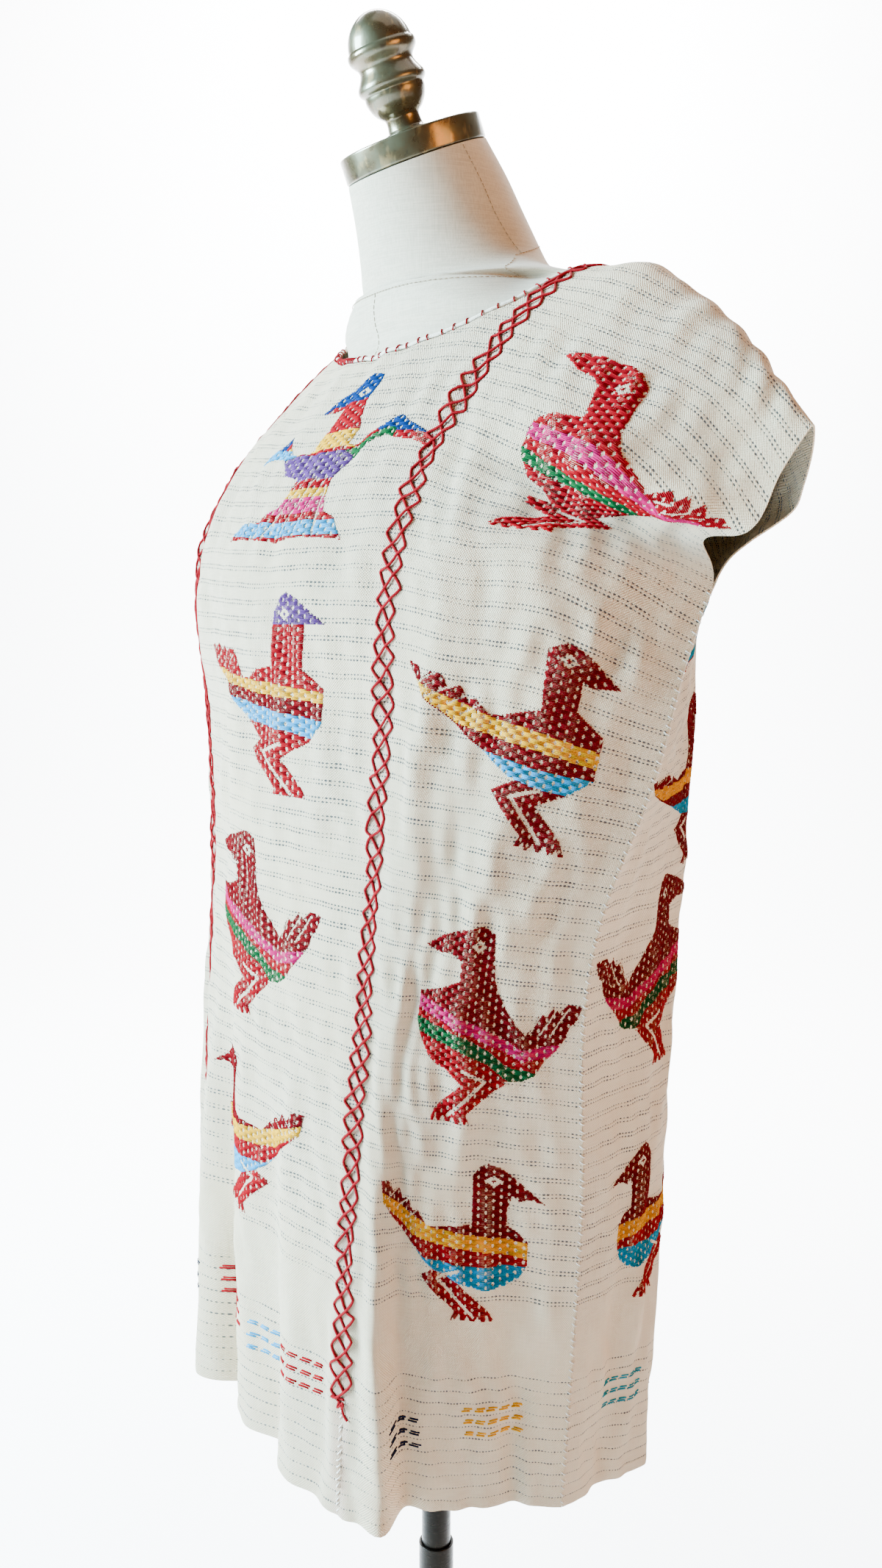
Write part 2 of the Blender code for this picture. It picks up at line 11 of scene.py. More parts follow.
import bpy
import numpy as np
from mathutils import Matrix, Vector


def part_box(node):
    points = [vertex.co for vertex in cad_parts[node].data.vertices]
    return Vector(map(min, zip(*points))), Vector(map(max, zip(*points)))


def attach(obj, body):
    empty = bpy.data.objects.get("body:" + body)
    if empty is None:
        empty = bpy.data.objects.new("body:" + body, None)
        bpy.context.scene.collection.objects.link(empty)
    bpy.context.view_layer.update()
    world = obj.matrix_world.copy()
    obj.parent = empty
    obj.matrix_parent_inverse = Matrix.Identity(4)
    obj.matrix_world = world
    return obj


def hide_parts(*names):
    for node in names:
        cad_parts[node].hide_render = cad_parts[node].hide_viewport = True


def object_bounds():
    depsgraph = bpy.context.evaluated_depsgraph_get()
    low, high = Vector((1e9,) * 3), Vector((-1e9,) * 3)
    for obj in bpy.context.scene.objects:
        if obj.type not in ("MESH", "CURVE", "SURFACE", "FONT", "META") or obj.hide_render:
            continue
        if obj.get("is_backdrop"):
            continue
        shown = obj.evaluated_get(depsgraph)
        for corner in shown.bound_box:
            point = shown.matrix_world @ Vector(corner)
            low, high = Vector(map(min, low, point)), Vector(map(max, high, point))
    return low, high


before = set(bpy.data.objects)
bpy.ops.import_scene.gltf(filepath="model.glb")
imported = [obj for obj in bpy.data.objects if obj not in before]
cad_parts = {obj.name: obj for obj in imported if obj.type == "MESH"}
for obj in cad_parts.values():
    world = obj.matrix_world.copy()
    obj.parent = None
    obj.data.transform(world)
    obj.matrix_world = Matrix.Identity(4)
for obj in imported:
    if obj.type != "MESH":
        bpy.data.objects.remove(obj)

bl_info = {
    "name": "Huipil on a Dress Form",
    "version": (1, 0, 0),
    "blender": (4, 5, 0),
    "location": "View3D > Sidebar > Huipil",
    "description": "Brocaded three-width blouse, its dress form and its stand",
    "category": "Add Mesh",
}

CM, MM = 0.01, 0.001
FRONT, BACK = -1, 1

# ---- the cut of the cloth, as in the solids ----
SEAM_GAP = 0.0003        # space between two sewn pieces
SEAM_U = 0.125           # half the middle width
FLANK_U = 0.235          # the middle of a side width
EDGE_U = 0.336           # the outer selvedge of a side width
ARMHOLE = 0.210          # open length below the shoulder line
HEM = 0.790              # cloth from the shoulder line to the hem
NECK_HALF = 0.1190       # half the neck hole, across
NECK_DEPTH = {FRONT: 0.082, BACK: 0.060}
NECK_SQUARE = 2.5        # how square the neck hole's curve is
NECK_EDGE = 0.0035       # width of the rolled hem round the neck hole

# Rows across the cloth, in centimetres: how far along the cloth, then the place
# of the middle, of the seam, of the middle of the side width and of its edge.
SECTION_COLUMNS = ("w", "mid_y", "mid_z", "seam_x", "seam_y", "seam_z",
                   "flank_x", "flank_y", "flank_z", "edge_x", "edge_y", "edge_z")
SECTIONS = (
    (-79.0, -14.1, 62.3, 11.0, -13.6, 62.3, 13.9, -6.8, 62.2, 16.7, -1.1, 62.0),
    (-60.0, -14.2, 81.8, 11.5, -12.9, 81.8, 15.0, -8.8, 81.4, 18.6, -1.3, 80.4),
    (-40.0, -14.0, 101.6, 12.3, -11.4, 101.6, 18.0, -8.8, 101.0, 21.7, -2.5, 100.0),
    (-32.0, -13.8, 109.7, 12.5, -10.9, 109.6, 19.5, -8.0, 108.8, 23.5, -0.6, 107.5),
    (-24.0, -13.4, 117.8, 12.6, -10.6, 117.8, 20.6, -6.8, 116.5, 24.7, 0.8, 115.0),
    (-21.0, -12.8, 120.7, 12.6, -10.0, 120.7, 20.8, -6.3, 119.5, 25.0, 1.8, 117.8),
    (-15.0, -9.6, 126.3, 12.5, -7.6, 126.0, 21.5, -4.6, 122.5, 26.4, 0.1, 120.3),
    (-11.0, -7.2, 129.8, 12.5, -5.3, 129.2, 23.0, -4.6, 124.6, 29.0, 0.6, 120.6),
    (-6.0, -3.2, 134.0, 12.5, -1.9, 133.2, 23.0, -1.0, 128.5, 29.8, 1.8, 123.4),
    (0.0, 3.0, 137.0, 12.5, 3.0, 136.2, 22.6, 3.5, 132.4, 30.2, 3.5, 125.7),
    (6.0, 8.2, 135.0, 12.5, 7.6, 133.6, 22.2, 6.8, 128.6, 28.2, 5.0, 123.2),
    (11.0, 10.2, 130.5, 12.5, 9.4, 129.2, 21.3, 7.2, 124.0, 27.0, 5.2, 121.6),
    (15.0, 10.9, 126.5, 12.5, 9.8, 125.3, 20.6, 6.6, 121.2, 25.9, 3.6, 120.2),
    (21.0, 11.4, 120.5, 12.5, 9.8, 119.3, 20.0, 5.4, 118.0, 25.0, 1.8, 117.8),
    (24.0, 11.4, 117.5, 12.5, 9.7, 116.3, 19.7, 5.2, 115.4, 24.7, 0.8, 115.0),
    (32.0, 11.1, 109.4, 12.3, 9.5, 108.4, 18.6, 5.4, 107.8, 23.5, -0.6, 107.5),
    (40.0, 10.8, 101.4, 12.0, 9.3, 100.4, 17.5, 5.6, 100.0, 21.7, -2.5, 100.0),
    (60.0, 10.2, 81.2, 11.8, 9.0, 80.6, 17.0, 5.2, 80.4, 18.6, -1.3, 80.4),
    (79.0, 9.4, 62.3, 11.4, 8.2, 62.0, 15.8, 4.9, 62.0, 16.7, -1.1, 62.0),
)
FORM_Y = 0.4             # the table's middle lies this far behind the pole, in centimetres
# Folds that start part of the way down and are deepest at the hem, in centimetres.
Fold = namedtuple("Fold", "across side push half_width starts_at")
FOLDS = tuple(Fold(*row) for row in (
    (-30.0, FRONT, -0.6, 1.6, 40.0),
    (-23.0, FRONT, -0.7, 1.6, 42.0),
    (-16.5, FRONT, 1.9, 2.0, 42.0),
    (-12.0, FRONT, -0.4, 1.2, 45.0),
    (-8.5, FRONT, 1.0, 1.8, 42.0),
    (-5.2, FRONT, -2.0, 1.3, 40.0),
    (-1.0, FRONT, 0.7, 2.0, 42.0),
    (2.8, FRONT, -0.9, 1.3, 50.0),
    (5.8, FRONT, 0.5, 1.6, 45.0),
    (9.5, FRONT, -0.5, 1.4, 45.0),
    (16.4, FRONT, 1.4, 1.5, 45.0),
    (19.0, FRONT, -0.8, 1.3, 50.0),
    (29.0, FRONT, -0.6, 1.4, 45.0),
    (-24.0, BACK, 0.8, 2.2, 40.0),
    (-11.0, BACK, -0.8, 1.8, 40.0),
    (-5.0, BACK, 0.7, 2.0, 45.0),
    (2.0, BACK, -0.9, 1.8, 42.0),
    (8.5, BACK, 0.6, 2.0, 45.0),
    (15.0, BACK, -0.8, 1.6, 42.0),
    (21.5, BACK, 0.5, 1.8, 45.0),
    (28.0, BACK, -0.6, 1.6, 50.0),
))
# Round swells and hollows away from the hem, in centimetres.
Swell = namedtuple("Swell", "across along push half_width half_length")
SWELLS = tuple(Swell(*row) for row in (
    (17.6, 0.0, 0.7, 3.2, 5.0),
    (-17.6, 0.0, 0.7, 3.2, 5.0),
    (-12.5, -22.0, 1.7, 8.0, 12.0),
    (-21.0, -13.0, -0.5, 3.5, 3.5),
    (25.5, -11.8, 0.5, 5.0, 2.2),
    (25.0, -15.4, -0.6, 5.0, 1.8),
    (22.0, -33.0, -0.6, 3.0, 12.0),
    (15.5, -36.0, 0.5, 2.5, 14.0),
    (-22.0, -34.0, -0.5, 3.0, 12.0),
    (20.0, 36.0, 0.5, 3.0, 12.0),
    (-20.0, 36.0, 0.5, 3.0, 12.0),
))
# Small creases: where they cross (cm), how far they turn from upright (degrees),
# half length and half width (cm), and how far they push out (mm).
Crease = namedtuple("Crease", "across along turn half_length half_width push")
CREASES = tuple(Crease(*row) for row in (
    (21.0, -15.5, 78.0, 7.0, 0.8, 2.7),
    (22.0, -17.6, 80.0, 7.0, 0.9, -2.7),
    (27.0, -20.0, 60.0, 3.5, 0.8, 1.7),
    (15.0, -17.0, -20.0, 5.0, 0.9, -1.7),
    (16.8, -20.0, -12.0, 6.0, 0.9, 1.9),
    (14.5, -27.0, -4.0, 9.0, 0.8, -2.0),
    (17.0, -33.0, 6.0, 10.0, 1.0, 2.0),
    (24.5, -24.0, 25.0, 4.0, 0.9, 1.5),
    (18.5, -44.0, 2.0, 9.0, 0.8, -2.0),
    (25.0, -45.0, 0.0, 9.0, 1.0, 1.5),
    (10.6, -30.0, 2.0, 9.0, 0.7, -1.7),
    (7.0, -36.0, 0.0, 10.0, 0.9, 1.5),
    (4.0, -46.0, 0.0, 9.0, 0.8, -1.5),
    (-2.5, -33.0, 0.0, 9.0, 0.9, 1.4),
    (-7.0, -26.0, -6.0, 7.0, 0.9, -1.4),
    (-15.0, -30.0, 4.0, 9.0, 0.9, -1.7),
    (-19.0, -42.0, 0.0, 10.0, 1.0, 1.7),
    (-26.0, -30.0, 12.0, 7.0, 0.9, -1.7),
    (18.0, 18.0, 20.0, 6.0, 0.9, -1.7),
    (24.0, 20.0, -24.0, 5.0, 0.9, 1.5),
    (10.5, 30.0, 3.0, 9.0, 0.8, -1.5),
    (3.5, 26.0, 0.0, 8.0, 0.9, 1.4),
    (-4.0, 40.0, 0.0, 10.0, 0.9, -1.5),
    (-16.0, 34.0, -6.0, 9.0, 0.9, 1.7),
    (-24.0, 24.0, 20.0, 5.0, 0.9, -1.5),
))


# ------------------------------------------------------------- settings


def length(name, text, value, low=0.0, high=1.0):
    """A length property in metres."""
    return bpy.props.FloatProperty(name=name, description=text, default=value,
                                   min=low, max=high, unit="LENGTH", precision=4)


def colour(name, text, value):
    """A linear colour property."""
    return bpy.props.FloatVectorProperty(name=name, description=text, default=value,
                                         subtype="COLOR", size=3, min=0.0, max=1.0)


def share(name, text, value):
    """A factor property from 0 to 1."""
    return bpy.props.FloatProperty(name=name, description=text, default=value,
                                   min=0.0, max=1.0, subtype="FACTOR")


class HuipilClothSettings(bpy.types.PropertyGroup):
    wall: length("Thickness", "Thickness of the handwoven cloth", 0.9 * MM, 0.0002, 0.003)
    mesh_step: length("Mesh step", "Distance between the mesh's rows", 3.5 * MM, 0.001, 0.02)
    ripple: length("Ripple", "Depth of the cloth's soft unevenness", 0.8 * MM, 0.0, 0.005)
    pair_pitch: length("Row pitch", "From one pair of hole rows to the next", 10.2 * MM)
    hole_pitch: length("Hole pitch", "From one hole to the next in a row", 2.8 * MM)
    cream: colour("Cotton", "Colour of the undyed cotton", (0.80, 0.655, 0.44))
    # near black: painted shade, standing in for the shadow seen through the openwork holes
    hole: colour("Holes", "Colour seen in the openwork", (0.010, 0.007, 0.005))


class HuipilYarnSettings(bpy.types.PropertyGroup):
    row_pitch: length("Brocade rows", "From one brocade row to the next", 0.83 * MM)
    tie_pitch: length("Tie-downs", "From one tie-down to the next in a row", 10.7 * MM)
    yarn_height: length("Float height", "How far the brocade stands up", 0.6 * MM)
    stitch: length("Stitch thread", "Thickness of the joining thread", 1.65 * MM)
    red: colour("Red", "Brocade and stitch red", (0.25, 0.0, 0.006))
    deep_red: colour("Deep red", "Darker brocade red", (0.135, 0.0, 0.003))
    yellow: colour("Yellow", "Brocade yellow", (0.64, 0.325, 0.004))
    light_blue: colour("Light blue", "Brocade light blue", (0.0, 0.27, 0.52))
    green: colour("Green", "Brocade green", (0.002, 0.070, 0.018))
    magenta: colour("Magenta", "Brocade magenta", (0.42, 0.004, 0.10))
    purple: colour("Purple", "Brocade purple", (0.085, 0.030, 0.14))
    royal: colour("Royal blue", "Brocade royal blue", (0.0, 0.024, 0.12))
    navy: colour("Navy", "Hem dash navy", (0.004, 0.008, 0.030))
    teal: colour("Teal", "Hem dash teal", (0.016, 0.24, 0.33))


class HuipilStandSettings(bpy.types.PropertyGroup):
    cover: colour("Cover", "Colour of the form's cover", (0.52, 0.46, 0.345))
    bronze: colour("Bronze", "Colour of the aged bronze", (0.11, 0.082, 0.040))
    steel: colour("Steel", "Colour of the dark steel", (0.007, 0.0055, 0.004))
    bronze_roughness: share("Bronze roughness", "Roughness of the lacquered bronze", 0.30)
    steel_roughness: share("Steel roughness", "Roughness of the dark steel", 0.30)


class HuipilStageSettings(bpy.types.PropertyGroup):
    floor: colour("Floor", "Colour of the studio floor", (0.96, 0.96, 0.96))
    world: bpy.props.FloatProperty(name="Ambient", description="Strength of the world light",
                                   default=0.09, min=0.0, max=5.0)


# ------------------------------------------------------------ cloth surface


def smooth(knots, values, at):
    """Smooth curve through rows of values: a cubic whose slopes come from its neighbours."""
    slope = np.gradient(values, knots, axis=0)
    low = np.clip(np.searchsorted(knots, at) - 1, 0, len(knots) - 2)
    return cubic(values[low], values[low + 1], slope[low], slope[low + 1],
                 knots[low], knots[low + 1], at)


def cubic(start, end, start_slope, end_slope, knot_a, knot_b, at):
    """One cubic span with a given value and slope at each of its ends."""
    span = (knot_b - knot_a)[..., None]
    t = (at - knot_a)[..., None] / span
    rise = t * t * (3.0 - 2.0 * t)
    leave = t * (1.0 - t) ** 2 * span
    arrive = t * t * (t - 1.0) * span
    return start * (1.0 - rise) + end * rise + start_slope * leave + end_slope * arrive


SECTION_TABLE = np.array(SECTIONS) * CM
SECTION_TABLE[:, [name.endswith("_y") for name in SECTION_COLUMNS]] += FORM_Y * CM
STATION_U = np.array([-EDGE_U, -FLANK_U, -SEAM_U, 0.0, SEAM_U, FLANK_U, EDGE_U])


def row_stations(w):
    """The seven known points of the row at w, from one edge to the other."""
    rows = smooth(SECTION_TABLE[:, 0], SECTION_TABLE, w)
    row = dict(zip(SECTION_COLUMNS, np.moveaxis(rows, -1, 0)))
    middle = np.stack([np.zeros_like(w), row["mid_y"], row["mid_z"]], -1)
    edge, flank, seam = [np.stack([row[name + "_x"], row[name + "_y"], row[name + "_z"]], -1)
                         for name in ("edge", "flank", "seam")]
    mirror = np.array([-1.0, 1.0, 1.0])
    return np.stack([edge * mirror, flank * mirror, seam * mirror,
                     middle, seam, flank, edge], -2)


def plain_cloth(u, w):
    """The cloth without its folds: a smooth curve through the stations of each row."""
    stations = row_stations(w)
    slopes = np.gradient(stations, STATION_U, axis=-2)
    low = np.clip(np.searchsorted(STATION_U, u) - 1, 0, len(STATION_U) - 2)

    def pick(rows, index):
        chosen = np.broadcast_to(index[..., None, None], index.shape + (1, 3))
        return np.take_along_axis(rows, chosen, -2)[..., 0, :]

    return cubic(pick(stations, low), pick(stations, low + 1), pick(slopes, low),
                 pick(slopes, low + 1), STATION_U[low], STATION_U[low + 1], u)


def outward(place, u, w, step=1e-4):
    """Unit normals of a cloth surface, from its slopes along u and w."""
    across = place(u + step, w) - place(u - step, w)
    along = place(u, w + step) - place(u, w - step)
    normal = np.cross(across, along)
    return normal / np.linalg.norm(normal, axis=-1, keepdims=True)


def fold_push(u, w):
    """How far the folds and swells push the cloth out at u, w."""
    depth = np.abs(w)
    push = np.zeros_like(u)
    for fold in FOLDS:
        start = fold.starts_at * CM
        grown = soft_step(depth, start, HEM)
        bell = np.exp(-((u - fold.across * CM) / (fold.half_width * CM)) ** 2)
        push = push + (np.sign(w) == fold.side) * fold.push * CM * grown * bell
    for swell in SWELLS:
        bell = np.exp(-((u - swell.across * CM) / (swell.half_width * CM)) ** 2
                      - ((w - swell.along * CM) / (swell.half_length * CM)) ** 2)
        push = push + swell.push * CM * bell
    return push


def soft_step(value, low, high):
    """0 below low, 1 above high, and a smooth rise between."""
    t = np.clip((value - low) / (high - low), 0.0, 1.0)
    return t * t * (3.0 - 2.0 * t)


def crease_push(u, w):
    """The small creases: long bells, each turned in the cloth."""
    push = np.zeros_like(u)
    for crease in CREASES:
        turn = math.radians(crease.turn)
        du, dw = u - crease.across * CM, w - crease.along * CM
        along = dw * math.cos(turn) + du * math.sin(turn)
        off = du * math.cos(turn) - dw * math.sin(turn)
        push = push + crease.push * MM * np.exp(-(off / (crease.half_width * CM)) ** 2
                                                - (along / (crease.half_length * CM)) ** 2)
    return push


def ripple(u, w, seed=7):
    """Soft unevenness: waves of 2 to 7 cm, most of them upright, summed to a unit spread."""
    draw = np.random.default_rng(seed)
    total = np.zeros_like(u)
    waves = 22
    for _ in range(waves):
        size = draw.uniform(0.02, 0.07)
        turn = draw.normal(0.0, 0.45)
        phase = draw.uniform(0.0, 2.0 * math.pi)
        reach = (u * math.cos(turn) + w * math.sin(turn)) / size
        total = total + np.sin(2.0 * math.pi * reach + phase)
    return total * math.sqrt(2.0 / waves)


PUCKER_PITCH = 12.5 * MM


def seam_pull(u, w):
    """The joining stitch draws the cloth in: a narrow valley with a pucker at each stitch."""
    off = (np.abs(u) - SEAM_U) / (5.5 * MM)
    beat = 1.0 + 0.45 * np.cos(2.0 * math.pi * w / PUCKER_PITCH)
    return -0.9 * MM * np.exp(-off ** 2) * beat


def dressed(u, w):
    """Outer face of the blouse: folds, creases, ripple and seam pull on the plain cloth."""
    u, w = np.broadcast_arrays(np.asarray(u, float), np.asarray(w, float))
    settings = bpy.context.scene.huipil_cloth
    depth = np.abs(w)
    off_side_seam = soft_step(EDGE_U - np.abs(u), 0.0, 0.03)
    loose = np.where(depth < ARMHOLE, np.maximum(off_side_seam, 0.3), off_side_seam)
    resting = soft_step(np.hypot(np.maximum(np.abs(u) - 0.10, 0.0), depth), 0.05, 0.12)
    relief = crease_push(u, w) + settings.ripple * ripple(u, w) * (0.25 + 0.75 * resting)
    relief = relief * loose + seam_pull(u, w) * (0.3 + 0.7 * resting)
    push = fold_push(u, w) + relief
    return plain_cloth(u, w) + outward(plain_cloth, u, w) * push[..., None]


class Weaving:
    """Lookup of the dressed surface in the weaving's own lengths.

    Near the armholes the cloth is bunched, so the length woven is measured
    along the surface there, and it meets the plain lengths again lower down.
    """

    STEP = 3.0 * MM
    BUNCHED = 0.15       # below the shoulder, woven lengths are measured this far
    SETTLED = 0.40       # and agree with the plain ones again here
    SLIP = 0.030         # how far the cloth has slipped back over the shoulder's end

    def __init__(self):
        self.u = np.linspace(-EDGE_U, EDGE_U, round(2 * EDGE_U / self.STEP) + 1)
        self.w = np.linspace(-HEM, HEM, round(2 * HEM / self.STEP) + 1)
        across, along = np.meshgrid(self.u, self.w)
        self.points = dressed(across, along)
        normal = np.cross(np.gradient(self.points, axis=1), np.gradient(self.points, axis=0))
        self.normals = normal / np.linalg.norm(normal, axis=-1, keepdims=True)
        self.woven = self._woven_lengths(across, along)

    def _woven_lengths(self, across, along):
        steps = np.linalg.norm(np.diff(plain_cloth(across, along), axis=0), axis=-1)
        reach = np.concatenate([np.zeros_like(steps[:1]), np.cumsum(steps, axis=0)])
        middle = len(self.w) // 2
        reach = reach - reach[middle]
        slip = self.SLIP * soft_step(np.abs(across), 0.178, 0.320)
        off = reach - slip - along
        start = np.searchsorted(self.w, [-self.BUNCHED, self.BUNCHED])
        off[:start[0]] = off[start[0]]
        off[start[1]:] = off[start[1]]
        side = soft_step(np.abs(across), SEAM_U, SEAM_U + 0.04)
        return along + off * side * (1.0 - soft_step(np.abs(along), self.BUNCHED, self.SETTLED))

    def woven_at(self, u, w):
        """The woven length at u, w on the surface."""
        return self._blend(self.woven[..., None], u, w)[..., 0]

    def _blend(self, grid, u, w):
        """Straight blend between the four grid points round u, w."""
        x = np.clip((u - self.u[0]) / (self.u[1] - self.u[0]), 0, len(self.u) - 1.001)
        y = np.clip((w - self.w[0]) / (self.w[1] - self.w[0]), 0, len(self.w) - 1.001)
        i, j = x.astype(int), y.astype(int)
        a, b = (x - i)[..., None], (y - j)[..., None]
        low = grid[j, i] * (1 - a) + grid[j, i + 1] * a
        high = grid[j + 1, i] * (1 - a) + grid[j + 1, i + 1] * a
        return low * (1 - b) + high * b

    def on_surface(self, u, woven):
        """Surface length w of a woven length: three corrections by the known difference."""
        w = np.array(woven, float)
        for _ in range(6):
            w = w + 0.8 * (woven - self.woven_at(u, w))
        return w

    def place(self, u, w, height=0.0):
        """Points at a height over the surface, and the surface's normals there."""
        u, w = np.broadcast_arrays(np.asarray(u, float), np.asarray(w, float))
        normal = self._blend(self.normals, u, w)
        normal = normal / np.linalg.norm(normal, axis=-1, keepdims=True)
        return self._blend(self.points, u, w) + normal * np.asarray(height)[..., None], normal


CLOTH = {}


def weaving():
    """The one lookup of the dressed surface, made when it is first asked for."""
    if "weaving" not in CLOTH:
        CLOTH["weaving"] = Weaving()
    return CLOTH["weaving"]


# ------------------------------------------------------------ mesh helpers


def mesh_piece(name, points, faces, finish, attributes=None):
    """A smooth mesh object at the origin; attributes are per point, of two to four numbers."""
    mesh = bpy.data.meshes.new(name)
    faces = [row for block in faces for row in np.asarray(block).tolist()]
    mesh.from_pydata(np.asarray(points).reshape(-1, 3).tolist(), [], faces)
    mesh.shade_smooth()
    for label, values in (attributes or {}).items():
        values = np.asarray(values, float).reshape(len(mesh.vertices), -1)
        colour_like = values.shape[1] == 4
        layer = mesh.attributes.new(label, "FLOAT_COLOR" if colour_like else "FLOAT_VECTOR",
                                    "POINT")
        if not colour_like:
            spare = np.zeros((len(values), 3 - values.shape[1]))
            values = np.concatenate([values, spare], axis=1)
        layer.data.foreach_set("color" if colour_like else "vector", values.ravel())
    mesh.materials.append(finish)
    piece = bpy.data.objects.new(name, mesh)
    bpy.context.scene.collection.objects.link(piece)
    return piece


def grid_faces(rows, columns, wrap=False):
    """Quads of a grid of points, optionally closed round its columns."""
    index = np.arange(rows * columns).reshape(rows, columns)
    if wrap:
        index = np.concatenate([index, index[:, :1]], axis=1)
    return np.stack([index[:-1, :-1], index[:-1, 1:], index[1:, 1:], index[1:, :-1]],
                    -1).reshape(-1, 4)


def wall_faces(rows, columns):
    """Quads of two grids, face to face, and of the rim that joins their edges."""
    index = np.arange(rows * columns).reshape(rows, columns)
    quads = grid_faces(rows, columns)
    rim = np.concatenate([index[0, :-1], index[:-1, -1], index[-1, :0:-1], index[:0:-1, 0]])
    after = np.roll(rim, -1)
    back = rows * columns
    sides = np.stack([rim, rim + back, after + back, after], -1)
    return np.concatenate([quads, quads[:, ::-1] + back, sides])


def tubes(paths, normals, radius, sides=6, squash=1.0):
    """Threads along equally long paths: rings of points square to each path.

    paths and normals are arrays of strands by points by 3; radius is one
    number or one for each point, and it falls to a small end at each tip.
    """
    paths, normals = np.asarray(paths, float), np.asarray(normals, float)
    ahead = np.gradient(paths, axis=1)
    ahead /= np.linalg.norm(ahead, axis=-1, keepdims=True)
    beside = np.cross(normals, ahead)
    beside /= np.linalg.norm(beside, axis=-1, keepdims=True)
    upward = np.cross(ahead, beside)
    turn = np.linspace(0.0, 2.0 * math.pi, sides, endpoint=False)
    radius = np.broadcast_to(np.asarray(radius, float), paths.shape[:2])[..., None, None]
    ring = (beside[:, :, None] * np.cos(turn)[:, None]
            + upward[:, :, None] * np.sin(turn)[:, None] * squash)
    points = paths[:, :, None] + ring * radius
    strands, length_of = paths.shape[:2]
    one = grid_faces(length_of, sides, wrap=True)[:, ::-1]
    ends = np.stack([np.arange(sides), (length_of - 1) * sides + np.arange(sides)[::-1]])
    starts = np.arange(strands)[:, None, None] * length_of * sides
    return points.reshape(-1, 3), [(one + starts).reshape(-1, 4),
                                   (ends + starts).reshape(-1, sides)]


def lathe(profile, around=96):
    """A turned solid about Z from (height, radius) rows, closed at both ends by a fan."""
    profile = np.asarray(profile, float)
    turn = np.linspace(0.0, 2.0 * math.pi, around, endpoint=False)
    height, radius = profile[:, :1], profile[:, 1:2]
    points = np.stack([radius * np.cos(turn), radius * np.sin(turn),
                       height + 0.0 * turn], -1).reshape(-1, 3)
    low, high = len(points), len(points) + 1
    points = np.concatenate([points, [[0, 0, profile[0, 0]], [0, 0, profile[-1, 0]]]])
    first = np.arange(around)
    last = first + (len(profile) - 1) * around
    after = np.roll(first, -1)
    bottom = np.stack([after, first, np.full(around, low)], -1)
    top = np.stack([last, np.roll(last, -1), np.full(around, high)], -1)
    return points, [grid_faces(len(profile), around, wrap=True), bottom, top]


def rounded(corners, radius, steps=4):
    """A profile with each inner corner cut back and rounded by a curve of two tangents."""
    corners = np.asarray(corners, float)
    rows = [corners[:1]]
    share_of = np.linspace(0.0, 1.0, steps + 1)[:, None]
    for before, corner, after in zip(corners, corners[1:], corners[2:]):
        back, on = before - corner, after - corner
        back_length, on_length = np.linalg.norm(back), np.linalg.norm(on)
        cut = min(radius, 0.45 * back_length, 0.45 * on_length)
        start, end = corner + back / back_length * cut, corner + on / on_length * cut
        rows.append((1 - share_of) ** 2 * start + 2 * share_of * (1 - share_of) * corner
                    + share_of ** 2 * end)
    rows.append(corners[-1:])
    return np.concatenate(rows)


# -------------------------------------------------------------- materials


class Nodes:
    """Adds nodes to a tree; wherever a value is asked for, a socket or a number serves."""

    def __init__(self, tree):
        self.tree = tree

    def add(self, kind, values=None, **settings):
        """A new node of a kind, with its settings, and values fed to its sockets."""
        node = self.tree.nodes.new(kind)
        node.location = (190 * (len(self.tree.nodes) % 12), -230 * (len(self.tree.nodes) // 12))
        for name, value in settings.items():
            setattr(node, name, value)
        for socket, value in (values or {}).items():
            self.feed(node.inputs[socket], value)
        return node

    def feed(self, socket, value):
        """Links a socket, or sets the number that an open socket holds."""
        if isinstance(value, bpy.types.NodeSocket):
            self.tree.links.new(value, socket)
        else:
            socket.default_value = value

    def math(self, operation, *values, clamp=False):
        """The result of one sum on one or more values."""
        node = self.add("ShaderNodeMath", dict(enumerate(values)), operation=operation,
                        use_clamp=clamp)
        return node.outputs[0]

    def plus(self, first, second):
        return self.math("ADD", first, second)

    def minus(self, first, second):
        return self.math("SUBTRACT", first, second)

    def times(self, first, second):
        return self.math("MULTIPLY", first, second)

    def over(self, first, second):
        return self.math("DIVIDE", first, second)

    def size_of(self, value):
        return self.math("ABSOLUTE", value)

    def fraction(self, value):
        return self.math("FRACT", value)

    def steps(self, value, low, high, to_low=0.0, to_high=1.0):
        """A smooth rise of value from low to high, written as to_low to to_high."""
        return self.add("ShaderNodeMapRange",
                        {"Value": value, "From Min": low, "From Max": high,
                         "To Min": to_low, "To Max": to_high},
                        interpolation_type="SMOOTHSTEP").outputs[0]

    def mix(self, factor, first, second, blend="MIX"):
        """Two colours mixed: the first where factor is 0, the second where it is 1."""
        node = self.add("ShaderNodeMix", data_type="RGBA", blend_type=blend)
        self.feed(node.inputs[0], factor)
        self.feed(node.inputs[6], first)
        self.feed(node.inputs[7], second)
        return node.outputs[2]

    def noise(self, vector, scale, detail=2.0, roughness=0.5):
        """Soft noise between 0 and 1 over a vector."""
        return self.add("ShaderNodeTexNoise", {"Vector": vector, "Scale": scale,
                                               "Detail": detail, "Roughness": roughness}
                        ).outputs["Fac"]

    def stretched(self, vector, scale):
        """A vector scaled by a different number along each axis."""
        return self.add("ShaderNodeVectorMath", {0: vector, 1: scale},
                        operation="MULTIPLY").outputs[0]

    def own(self, label, output):
        """A piece's own attribute."""
        return self.add("ShaderNodeAttribute", attribute_name=label).outputs[output]


